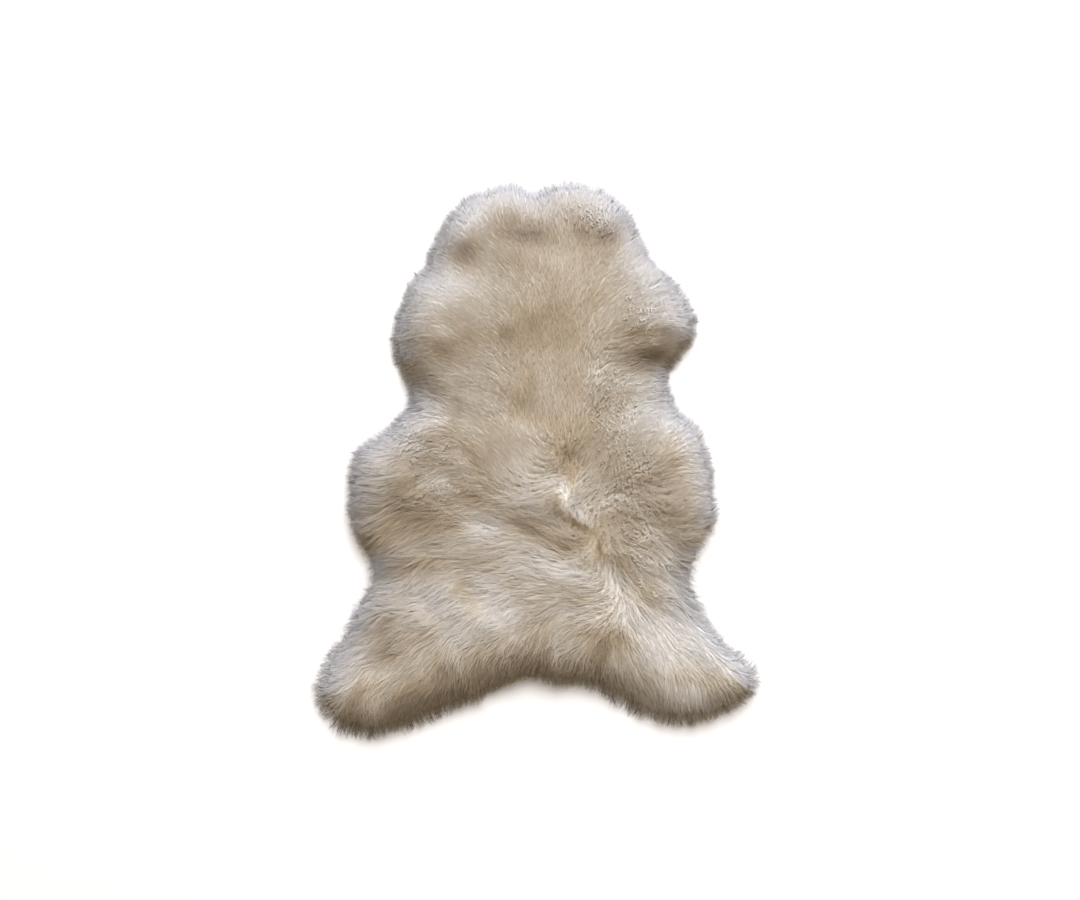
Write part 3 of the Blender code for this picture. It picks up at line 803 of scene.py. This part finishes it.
def patch_at(places):
    """How pale the wool shows at some places, from -2, open and brown or in painted shade, to 1.6, closed or
    in painted light, and how it tilts.
    """
    pale, rise = np.zeros(len(places)), np.zeros(len(places))
    for x, y, length, width, turn, amount in (row[1:] for row in PATCHES):
        cos, sin = math.cos(math.radians(turn)), math.sin(math.radians(turn))
        off = places - (x, y)
        along, across = off @ (cos, sin), off @ (-sin, cos)
        share = amount * np.exp(-((along / length) ** 2) - (across / width) ** 2)
        pale += share
        rise -= share * off[:, 1] * PATCH_TILT
    return np.clip(pale, PATCH_LEAST, PATCH_MOST), rise


def trim_at(places):
    """How much further the wool spills past the outline near some places."""
    rows = np.array([row[1:] for row in TRIMS])
    apart = np.linalg.norm(places[:, None, :] - rows[None, :, :2], axis=2)
    return np.exp(-((apart / rows[:, 2]) ** 2)) @ rows[:, 3]


def hollow_of(mesh, heights):
    """How far each vertex lies below the lie of the wool round it."""
    edges = np.array([tuple(edge.vertices) for edge in mesh.edges])
    count = np.bincount(edges.ravel(), minlength=len(heights))
    even = heights.copy()
    for _ in range(HOLLOW_ROUNDS):
        around = np.bincount(edges[:, 0], even[edges[:, 1]], len(heights))
        around += np.bincount(edges[:, 1], even[edges[:, 0]], len(heights))
        even = (even + around / count) / 2
    return even - heights


def plain_height(distances, heights, wanted):
    """The mean height of the wool at each distance from the rim, without its swells and hollows."""
    steps = np.arange(0, distances.max(), PLAIN_STEP)
    near = abs(distances[None, wanted] - steps[:, None]) < PLAIN_REACH
    means = np.array([heights[wanted][row].mean() if row.any() else np.nan for row in near])
    known = ~np.isnan(means)
    return np.interp(distances, steps[known], means[known])


def drift(places, swings):
    """Smooth chance that wanders over the places, by swings that each have a size, a seed and a share."""
    return sum(
        share * np.array([2 * noise.noise(Vector((x / size, y / size, seed))) for x, y in places])
        for size, seed, share in swings
    )


def turned(ways, angles):
    """Flat directions turned anticlockwise by angles."""
    cos, sin = np.cos(angles), np.sin(angles)
    return np.stack([ways[:, 0] * cos - ways[:, 1] * sin, ways[:, 0] * sin + ways[:, 1] * cos], axis=1)


def fall(distance, most, reach):
    """An effect that is full at the rim and fades with the distance from it."""
    return np.clip(most * np.exp(-distance / reach), 0, 1)


def keep(mesh, name, values):
    """Stores one number or vector for each vertex of a mesh."""
    kind, slot = ("FLOAT_VECTOR", "vector") if values.ndim == 2 else ("FLOAT", "value")
    mesh.attributes.new(name, kind, "POINT").data.foreach_set(slot, values.astype(np.float32).ravel())


# The way and the height of the coat, vertex by vertex.
coat = undercoat.data
at = np.empty(len(coat.vertices) * 3)
coat.vertices.foreach_get("co", at)
at = at.reshape(-1, 3)
flat = at[:, :2]
rim_distance, rim_out = rim_near(flat, wool_outline)
rear = np.clip((REAR_START - flat[:, 1]) / REAR_FADE, 0, 1)
tufted = np.clip(curl_at(flat) + rear * REAR_CURL, 0, 1)
spilling = np.clip(1 - rim_distance / RIM_COMBED, 0, 1)[:, None]
combed = (1 - spilling) * stroke_at(flat) + spilling * rim_out * RIM_FIRMNESS
firmness = np.minimum(np.linalg.norm(combed, axis=1), 1)
combed /= np.linalg.norm(combed, axis=1, keepdims=True)
unruly = np.radians(WANDER_PLAIN + WANDER_CURLY * tufted) * (1 - RIM_NEATNESS * spilling[:, 0])
combed = turned(combed, unruly * drift(flat, WANDER_SWINGS))
heap = (HEAP_PLAIN + HEAP_CURLY * tufted) * drift(flat, HEAP_SWINGS)
crown = np.clip((at[:, 2] - CROWN_FOOT) / CROWN_FADE, 0, 1)
sag = (plain_height(rim_distance, at[:, 2], crown > 0.5) - at[:, 2]) * crown
rise = patch_at(flat)[1]
at[:, 2] += (heap + SAG_FILLED * sag + rise + PLAIN_LOFT * (1 - tufted)) * crown
coat.vertices.foreach_set("co", at.ravel())
room = room_to(wool_outline, flat, combed)
keep(coat, "lie", np.clip(firmness * LIE_SLOPE + LIE_START, 0, 1))
keep(coat, "comb", np.column_stack([combed, np.zeros(len(combed))]))
keep(coat, "room", room + trim_at(flat))
keep(coat, "curl", tufted)
keep(coat, "tight", humps(flat, TIGHT_CURLS).max(axis=1))

# The shade of the coat: its own tone, with painted light and painted shade in it.  A fibre shows ahead of its
# root, so its root takes the shade of that place.
shown_ahead = SHOWN_SHORT + (SHOWN_LONG - SHOWN_SHORT) * tufted
shown = flat + combed * np.minimum(shown_ahead, SHOWN_ROOM * room)[:, None]
rim_distance, rim_out = rim_near(shown, wool_outline)
noseward = rim_out[:, 1]
hollow = np.clip(hollow_of(coat, at[:, 2]) / HOLLOW_DEPTH, -1, 1) * crown
# Painted sky light: paler, bluer wool round the rim, left out where the rim faces the rump.
painted_rim_light = fall(rim_distance, PAINTED_RIM_MOST, PAINTED_RIM_REACH + PAINTED_RIM_SPREAD * abs(noseward))
painted_rim_light *= np.clip((noseward + PAINTED_RIM_START) / PAINTED_RIM_FADE, 0, 1)
painted_rim_light *= np.clip(at[:, 2] / PAINTED_RIM_FOOT, PAINTED_RIM_LEAST, 1)
# Painted highlight: a paler band along the rim that faces the nose and the window.
painted_highlight = np.exp(-(((rim_distance - PAINTED_HIGHLIGHT_PLACE) / PAINTED_HIGHLIGHT_REACH) ** 2)) * np.clip(PAINTED_HIGHLIGHT_TURN * noseward, 0, 1)
# Painted shade: a darker band along the rim that faces the rump, away from the window.
painted_rump_shade = fall(rim_distance, PAINTED_RUMP_MOST, PAINTED_RUMP_REACH) * np.clip(-PAINTED_RUMP_TURN * noseward, 0, 1)
# Sagging and hollow wool shows browner where it parts and darker as painted shade; the patches add tone,
# painted light and painted shade.
shade = SHADE_START + SAG_SHADE * sag + HOLLOW_SHADE * hollow + PALE_SHADE * patch_at(shown)[0]
shade += PAINTED_RUMP_SHADE * painted_rump_shade + PAINTED_HIGHLIGHT_SHADE * painted_highlight + drift(flat, CLOUD_SWINGS)
keep(coat, "shade", np.clip(shade, 0, 1))
keep(coat, "painted_rim_light", painted_rim_light)
keep(coat, "loose", 1 - TRIMMED_MOST * np.clip(-TRIMMED_TURN * noseward - TRIMMED_START, 0, 1))
keep(coat, "spill", np.clip(1 - rim_distance / SPILL_REACH, 0, 1))


# ---------------------------------------------------------------------------------------------
# Wool.  The long cream fibres, of which 2 to 4.5 cm stand out of the undercoat.  Each leans the way
# it is combed, and gathers with its neighbours into a lock that ends in one tip.

WOOL_SHORT, WOOL_LONG = 0.019, 0.044  # where it is plain and where it is curly
WOOL_WIDTH = 0.0005
WOOL_RISE, WOOL_LAY = 12, -2  # degrees over the skin at its root and at its tip
WOOL_SEED = 3
WOOL_SOFTNESS = 0.96  # how far it is lit as one coat, and not strand by strand
WOOL_BANDS = (  # name, from the rump end, to the nose end, fibres per square metre, joints along a fibre
    ("head_wool", 0.235, 0.6, 186000, 2),
    ("shoulder_wool", 0.065, 0.235, 190000, 2),
    ("back_wool", -0.06, 0.065, 120000, 3),
    ("loin_wool", -0.19, -0.06, 82000, 4),
    ("rump_wool", -0.31, -0.19, 82000, 4),
    ("leg_wool", -0.6, -0.31, 72000, 4),
)
BAND_WOBBLE = 0.012  # the bands meet along an uneven line, so that no seam shows
BAND_SWINGS, BAND_GAIN = {"Scale": 14.0, "Detail": 3.0}, 4  # so much of its noise swings one wobble
ROOTS_FACE = -0.3  # no fibre grows where the undercoat faces further down than this
CURLED_SEED, TONE_SEED, STRAY_SEED = 17, 11, 13  # of each fibre's own chance
LOCK_SPACING, LOCKS_MOST = 0.006, 30000.0  # between the locks, and the most of them to a square metre
LOCK_SEED, LOCK_WAY_SEED, LOCK_CHANCE_SEED = 7, 3, 5
LOCK_SPLAY, LOCK_SPLAY_CURLY = 0.05, 0.16  # how far the locks lean apart, and curly locks on top
FIBRE_STRAY, FIBRE_SPLAY = (1, 1, 0.6), 0.10  # how far fibres lean apart within a lock
CURLED_SHADE = -0.07  # painted highlight: tight curls show this much paler, as the light that they catch on top of the coat
UPRIGHT = (0, 0, 0.9)  # added to the way that the undercoat faces, to give the way that fibres grow up
SWAY = {"Scale": 16.0, "Detail": 1.0}
FRINGE_LOCK, FRINGE_FIBRE, FRINGE_LEAST = 0.006, 0.007, 0.0003  # how far fibres pass the outline
ROOM_SHARE, ROOM_MORE = 1.12, 0.003  # a fibre is longer than the flat way that it covers
STANDING_LOSS = 0.72  # upright wool is this much shorter
TONE_LENGTH, LENGTH_LEAST = 0.35, 0.8  # how the fibres differ in length
CURLY_RISE, UPRIGHT_RISE, UPRIGHT_LAY = 0.12, 1.6, 1.2  # radians
GATHER_BEND, GATHER_PLAIN, GATHER_CURLY = 1.2, 0.02, 0.26  # how a lock's fibres draw together
SWING_ALONG, SWING_PLACE, SWING_LOCK, SWING_FIBRE = 8.0, 25.0, 1.5, 0.5  # radians
SWERVE_PLAIN, SWERVE_CURLY = 0.0006, 0.0032  # how far they swing, and curly ones on top
TAPER = 2.0  # a fibre keeps its width for longer, and ends more bluntly, the higher this is
WIDTH_LEAST, WIDTH_TONE = 0.75, 0.5  # how the fibres differ in width
WIDTH_PLAIN, WIDTH_CURLY, WIDTH_SPILL = 0.9, 0.3, 0.25  # plain wool's, curly wool's on top, and the rim's
FIBRE_FLOOR = 0.0012  # no fibre sinks lower than this
SPILL_LEAN = 0.8  # the light follows the rim's fibres outwards this much
PAINTED_EDGE_REACH, PAINTED_EDGE_SHARE = 0.010, 0.42  # painted shade: the edge dims over this far, and by this share at the outline
COAT_DEPTH, COAT_DEPTH_CURLY = 0.05, 0.30  # how much deeper roots show than tips, and curly ones on top: partly browner roots, partly painted shade between the fibres
TONE_DEPTH = 0.04  # how much the fibres differ in depth
CRIMP_TURNS = 11.0  # radians that a tightly curled strand winds through
CRIMP_START = 6.3  # it starts anywhere round the turn
CRIMP_OPENS, LIFT_OPENS, CRIMP_UP = 8.0, 5.0, 0.6  # it opens in its first eighth, lifts in its first fifth


def drawn(tree, seed):
    """A number between 0 and 1, drawn for each point."""
    return put(tree, "FunctionNodeRandomValue", data_type="FLOAT", named={"Seed": seed})


def drawn_way(tree, sides, seed):
    """A vector up to some sides either way, drawn for each point."""
    low = tuple(-side for side in sides)
    return put(tree, "FunctionNodeRandomValue", low, sides, data_type="FLOAT_VECTOR", named={"Seed": seed})


def wool_tree():
    """Long fibres growing out of an undercoat, leaning as it is combed and gathered into locks."""
    tree, given, result = new_tree(
        "wool", "GeometryNodeTree", {"Geometry": "Geometry"}, Geometry="Geometry", Density="Float",
        Low="Float", High="Float", Wobble="Float", Short="Float", Long="Float", Width="Float",
        Rise="Float", Lay="Float", Spacing="Float", Joints="Int", Seed="Int", Material="Material",
        Crimp="Float", Curled="Float", Lift="Float",
    )

    # Roots: scattered over the top and the rim of the undercoat, within one wobbling band.
    strewn = {"Mesh": given["Geometry"], "Density": given["Density"], "Seed": given["Seed"]}
    grow = put(tree, "GeometryNodeDistributePointsOnFaces", distribute_method="RANDOM", named=strewn).node
    place = put(tree, "GeometryNodeInputPosition")
    place_along = put(tree, "ShaderNodeSeparateXYZ", place).node.outputs["Y"]
    cloudy = put(tree, "ShaderNodeTexNoise", named={"Vector": place, **BAND_SWINGS})
    wander = math_of(tree, "SUBTRACT", cloudy, 0.5)
    line = sum_of(tree, place_along, times(tree, wander, times(tree, given["Wobble"], BAND_GAIN)))
    outward = put(tree, "ShaderNodeSeparateXYZ", grow.outputs["Normal"]).node.outputs["Z"]
    chosen = sum_of(tree, called(tree, "tight"), math_of(tree, "SUBTRACT", 1.0, given["Curled"]))
    inside = times(
        tree,
        math_of(tree, "GREATER_THAN", line, given["Low"]),
        math_of(tree, "LESS_THAN", line, given["High"]),
        math_of(tree, "GREATER_THAN", outward, ROOTS_FACE),
        math_of(tree, "GREATER_THAN", chosen, drawn(tree, CURLED_SEED)),
    )
    roots = put(tree, "GeometryNodeSeparateGeometry", grow.outputs["Points"], inside)
    roots = stored(tree, roots, "out", grow.outputs["Normal"], "FLOAT_VECTOR")

    # Locks: a sparser scatter of places, of which each fibre joins the nearest.
    sparse = {
        "Mesh": given["Geometry"], "Distance Min": given["Spacing"], "Density Max": LOCKS_MOST,
        "Seed": LOCK_SEED,
    }
    locks = put(tree, "GeometryNodeDistributePointsOnFaces", distribute_method="POISSON", named=sparse)
    splay = sloped(tree, called(tree, "curl"), LOCK_SPLAY_CURLY, LOCK_SPLAY)
    apart = scaled(tree, drawn_way(tree, (1, 1, 1), LOCK_WAY_SEED), splay)
    own_way = vector_of(tree, "ADD", called(tree, "comb", "FLOAT_VECTOR"), apart)
    locks = stored(tree, locks, "comb", vector_of(tree, "NORMALIZE", own_way), "FLOAT_VECTOR")
    locks = stored(tree, locks, "chance", drawn(tree, LOCK_CHANCE_SEED))
    nearest = put(tree, "GeometryNodeSampleNearest", locks, place)

    def of_lock(value, data_type):
        """What a fibre's lock has for a value."""
        sampled = {"Geometry": locks, "Value": value, "Index": nearest}
        return put(tree, "GeometryNodeSampleIndex", data_type=data_type, named=sampled)

    way_of_lock = of_lock(called(tree, "comb", "FLOAT_VECTOR"), "FLOAT_VECTOR")
    roots = stored(tree, roots, "lock", of_lock(place, "FLOAT_VECTOR"), "FLOAT_VECTOR")
    roots = stored(tree, roots, "lock_way", way_of_lock, "FLOAT_VECTOR")
    roots = stored(tree, roots, "chance", of_lock(called(tree, "chance"), "FLOAT"))
    roots = stored(tree, roots, "root", place, "FLOAT_VECTOR")
    roots = stored(tree, roots, "sway", put(tree, "ShaderNodeTexNoise", named={"Vector": place, **SWAY}))
    roots = stored(tree, roots, "tone", drawn(tree, TONE_SEED))
    roots = stored(tree, roots, "stray", drawn_way(tree, FIBRE_STRAY, STRAY_SEED), "FLOAT_VECTOR")
    # Tight curls show paler, as painted highlight.
    deeper = math_of(tree, "MULTIPLY_ADD", given["Curled"], CURLED_SHADE, called(tree, "shade"))
    roots = stored(tree, roots, "shade", deeper)

    # Fibres: a slim three-sided cone on each root, told apart along it by its height.
    cone = {
        "Vertices": 3, "Side Segments": given["Joints"], "Radius Top": 0.0, "Radius Bottom": 1.0,
        "Depth": 1.0,
    }
    fibre = put(tree, "GeometryNodeMeshCone", fill_type="NGON", named=cone)
    fibre = stored(tree, fibre, "along", put(tree, "ShaderNodeSeparateXYZ", place).node.outputs["Z"])
    sideways = vector_of(tree, "NORMALIZE", vector_of(tree, "MULTIPLY", place, (1, 1, 0)))
    fibre = stored(tree, fibre, "across", sideways, "FLOAT_VECTOR")
    fibres = put(tree, "GeometryNodeInstanceOnPoints", roots, named={"Instance": fibre})
    fibres = put(tree, "GeometryNodeRealizeInstances", fibres)

    # The way of a fibre: along its lock's, over a plane that slopes less than the undercoat.
    along, across = called(tree, "along"), called(tree, "across", "FLOAT_VECTOR")
    root, lock = called(tree, "root", "FLOAT_VECTOR"), called(tree, "lock", "FLOAT_VECTOR")
    tone, chance, curl = called(tree, "tone"), called(tree, "chance"), called(tree, "curl")
    out, lock_way = called(tree, "out", "FLOAT_VECTOR"), called(tree, "lock_way", "FLOAT_VECTOR")
    strayed = scaled(tree, called(tree, "stray", "FLOAT_VECTOR"), FIBRE_SPLAY)
    way = vector_of(tree, "ADD", lock_way, strayed)
    up = vector_of(tree, "NORMALIZE", vector_of(tree, "ADD", out, UPRIGHT))
    beside = vector_of(tree, "NORMALIZE", vector_of(tree, "CROSS_PRODUCT", up, way))
    ahead = vector_of(tree, "CROSS_PRODUCT", beside, up)

    # Its length: as curly as the wool is there, but only a little past the rug's outline.
    loose = called(tree, "loose")
    by_fibre = sloped(tree, times(tree, tone, loose), FRINGE_FIBRE, FRINGE_LEAST)
    fringe = sum_of(tree, times(tree, chance, FRINGE_LOCK, loose), by_fibre)
    room = sum_of(tree, called(tree, "room"), fringe)
    longer = math_of(tree, "SUBTRACT", given["Long"], given["Short"])
    grown_to = math_of(tree, "MULTIPLY_ADD", curl, longer, given["Short"])
    upright = math_of(tree, "SUBTRACT", 1.0, called(tree, "lie"))
    standing = sloped(tree, upright, -STANDING_LOSS, 1.0)
    varied = times(tree, grown_to, standing, sloped(tree, tone, TONE_LENGTH, LENGTH_LEAST))
    length = math_of(tree, "MINIMUM", varied, sloped(tree, room, ROOM_SHARE, ROOM_MORE))

    # Its bend: an arc from its rise at the root to its lay at the tip.
    raised = math_of(tree, "MULTIPLY_ADD", curl, CURLY_RISE, given["Rise"])
    rise = math_of(tree, "MULTIPLY_ADD", upright, math_of(tree, "SUBTRACT", UPRIGHT_RISE, raised), raised)
    lay = math_of(tree, "MULTIPLY_ADD", upright, UPRIGHT_LAY, given["Lay"])
    bend = math_of(tree, "SUBTRACT", lay, rise)
    turn = sum_of(tree, rise, times(tree, along, bend))
    sine_gain = math_of(tree, "SUBTRACT", math_of(tree, "SINE", turn), math_of(tree, "SINE", rise))
    cosine_loss = math_of(tree, "SUBTRACT", math_of(tree, "COSINE", rise), math_of(tree, "COSINE", turn))
    forward = math_of(tree, "DIVIDE", sine_gain, bend)
    upward = math_of(tree, "DIVIDE", cosine_loss, bend)

    # Its spine: on that arc, drawn to its lock and swinging from side to side with it.
    closing = times(
        tree, math_of(tree, "POWER", along, GATHER_BEND), sloped(tree, curl, GATHER_CURLY, GATHER_PLAIN)
    )
    gathered = scaled(tree, vector_of(tree, "SUBTRACT", lock, root), closing)
    swinging = sum_of(
        tree, times(tree, along, SWING_ALONG), times(tree, called(tree, "sway"), SWING_PLACE),
        times(tree, chance, SWING_LOCK), times(tree, tone, SWING_FIBRE),
    )
    swerving = sloped(tree, curl, SWERVE_CURLY, SWERVE_PLAIN)
    swerve = times(tree, math_of(tree, "SINE", swinging), along, swerving)
    spine = vector_of(tree, "ADD", root, scaled(tree, ahead, times(tree, forward, length)))
    spine = vector_of(tree, "ADD", spine, scaled(tree, up, times(tree, upward, length)))
    spine = vector_of(tree, "ADD", spine, gathered)
    spine = vector_of(tree, "ADD", spine, scaled(tree, beside, swerve))

    # A tightly curled strand winds round its spine in a spiral that opens near its root.
    winding = sum_of(tree, times(tree, along, CRIMP_TURNS), times(tree, tone, CRIMP_START))
    opened = times(tree, given["Crimp"], math_of(tree, "MINIMUM", times(tree, along, CRIMP_OPENS), 1.0))
    wound = times(tree, opened, math_of(tree, "SINE", winding))
    spine = vector_of(tree, "ADD", spine, scaled(tree, beside, wound))
    lifted = times(tree, given["Lift"], math_of(tree, "MINIMUM", times(tree, along, LIFT_OPENS), 1.0))
    lifted = sum_of(tree, lifted, times(tree, opened, math_of(tree, "COSINE", winding), CRIMP_UP))
    spine = vector_of(tree, "ADD", spine, scaled(tree, up, lifted))

    # Its section: a small triangle square to the spine, tapering to the tip.
    winds = times(tree, given["Crimp"], CRIMP_TURNS, math_of(tree, "COSINE", winding))
    onward = scaled(tree, ahead, times(tree, length, math_of(tree, "COSINE", turn)))
    climbing = scaled(tree, up, times(tree, length, math_of(tree, "SINE", turn)))
    heading = vector_of(tree, "ADD", vector_of(tree, "ADD", onward, climbing), scaled(tree, beside, winds))
    heading = vector_of(tree, "NORMALIZE", heading)
    side = vector_of(tree, "NORMALIZE", vector_of(tree, "CROSS_PRODUCT", up, heading))
    over = vector_of(tree, "CROSS_PRODUCT", heading, side)
    girth = times(
        tree, given["Width"], 0.5,
        math_of(tree, "SUBTRACT", 1.0, math_of(tree, "POWER", along, TAPER)),
        sloped(tree, tone, WIDTH_TONE, WIDTH_LEAST),
        sloped(tree, curl, WIDTH_CURLY, WIDTH_PLAIN),
        sloped(tree, called(tree, "spill"), WIDTH_SPILL, 1.0),
    )
    corner = put(tree, "ShaderNodeSeparateXYZ", across).node.outputs
    section = vector_of(
        tree, "SUBTRACT", scaled(tree, side, corner["Y"]), scaled(tree, over, corner["X"])
    )
    spot = vector_of(tree, "ADD", spine, scaled(tree, section, girth))
    parts = put(tree, "ShaderNodeSeparateXYZ", spot).node.outputs
    held_up = math_of(tree, "MAXIMUM", parts["Z"], FIBRE_FLOOR)
    spot = put(tree, "ShaderNodeCombineXYZ", parts["X"], parts["Y"], held_up)
    placed = put(tree, "GeometryNodeSetPosition", named={"Geometry": fibres, "Position": spot})
    smooth = put(tree, "GeometryNodeSetShadeSmooth", named={"Geometry": placed, "Shade Smooth": True})

    # What the wool's materials read: the way it faces, and how far past the edge it reaches, which sets its
    # painted edge shade.
    leaning = scaled(tree, lock_way, times(tree, called(tree, "spill"), along, SPILL_LEAN))
    facing = vector_of(tree, "NORMALIZE", vector_of(tree, "ADD", out, leaning))
    lit = stored(tree, smooth, "out", facing, "FLOAT_VECTOR")
    left = math_of(tree, "SUBTRACT", called(tree, "room"), times(tree, forward, length))
    # Painted shade on the fibres past the edge, darker the further they reach.
    edge = put(tree, "ShaderNodeClamp", sloped(tree, left, -1 / PAINTED_EDGE_REACH, PAINTED_EDGE_SHARE))
    lit = stored(tree, lit, "edge", edge)
    finished = put(tree, "GeometryNodeSetMaterial", named={"Geometry": lit, "Material": given["Material"]})
    tree.links.new(finished, result["Geometry"])
    return tree


def strand_group():
    """The depth that a strand shows from, and its normal, softened towards the lie of the coat."""
    outputs = {"Depth": "Float", "Normal": "Vector"}
    tree, given, result = new_tree("wool_strand", "ShaderNodeTree", outputs, Softness="Float")
    own = tree.nodes.new("ShaderNodeNewGeometry").outputs["Normal"]
    normals = {"Factor": given["Softness"], "A": own, "B": read(tree, "out")["Vector"]}
    softened = put(tree, "ShaderNodeMix", data_type="VECTOR", named=normals)
    tree.links.new(vector_of(tree, "NORMALIZE", softened), result["Normal"])
    # Darker towards the root: partly the wool's browner roots, partly painted shade between the fibres.
    sunken = math_of(tree, "SUBTRACT", 0.5, read(tree, "along")["Fac"])
    strength = sloped(tree, read(tree, "curl")["Fac"], COAT_DEPTH_CURLY, COAT_DEPTH)
    uneven = sloped(tree, read(tree, "tone")["Fac"], TONE_DEPTH, -TONE_DEPTH / 2)
    depth = sum_of(tree, read(tree, "shade")["Fac"], times(tree, sunken, strength), uneven)
    tree.links.new(depth, result["Depth"])
    return tree


wool_strand = strand_group()


def wool_paint(name, softness):
    """Cream wool, lit with softness as one coat, and without it as separate strands."""
    made, shader = paint(name, roughness=0.9, specular=0.25)
    tree = made.node_tree
    strand = put(tree, "ShaderNodeGroup", node_tree=wool_strand, named={"Softness": softness}).node.outputs
    tint = put(tree, "ShaderNodeGroup", node_tree=wool_tint, named={"Depth": strand["Depth"]})
    tree.links.new(strand["Normal"], shader.inputs["Normal"])
    tree.links.new(tint, shader.inputs["Base Color"])
    return made


wool = wool_tree()
wool_cream = wool_paint("wool_cream", WOOL_SOFTNESS)
for name, low, high, density, joints in WOOL_BANDS:
    band = grown(
        name, undercoat, wool, Density=density, Low=low, High=high, Wobble=BAND_WOBBLE, Short=WOOL_SHORT,
        Long=WOOL_LONG, Width=WOOL_WIDTH, Rise=math.radians(WOOL_RISE), Lay=math.radians(WOOL_LAY),
        Spacing=LOCK_SPACING, Joints=joints, Seed=WOOL_SEED, Material=wool_cream,
    )
    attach(band, "root")


# ---------------------------------------------------------------------------------------------
# Curled wool.  Short strands of the same wool that never combed out, wound into tight curls that
# stand out of the coat, most of them behind the right shoulder.

CURL_DENSITY = 34000  # strands per square metre where all of them are tightly curled
CURL_LENGTH, CURL_WIDTH = 0.014, 0.0018
CURL_RISE, CURL_LAY = 14, -4  # degrees over the skin at its root and at its tip
CURL_RADIUS = 0.0024  # of the spiral that it winds in
CURL_LIFT = 0.0042  # over the wool that it grows among
CURL_JOINTS = 10
CURL_SEED = 21
CURL_SOFTNESS = 0.88
WHOLE_RUG = 0.6  # from its middle past either end

curl_cream = wool_paint("curl_cream", CURL_SOFTNESS)
curls = grown(
    "curled_wool", undercoat, wool, Density=CURL_DENSITY, Low=-WHOLE_RUG, High=WHOLE_RUG, Wobble=0.0,
    Short=CURL_LENGTH, Long=CURL_LENGTH, Width=CURL_WIDTH, Rise=math.radians(CURL_RISE),
    Lay=math.radians(CURL_LAY), Spacing=LOCK_SPACING, Joints=CURL_JOINTS, Seed=CURL_SEED, Material=curl_cream,
    Crimp=CURL_RADIUS, Curled=1.0, Lift=CURL_LIFT,
)
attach(curls, "root")


# ---------------------------------------------------------------------------------------------
# The whole rug.  The wool takes the solid's place, and the skin lies on the floor as one sheet
# with all the wool that grows out of it.

bpy.data.objects.remove(fleece)
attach(undercoat, "root")
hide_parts("sheepskin")
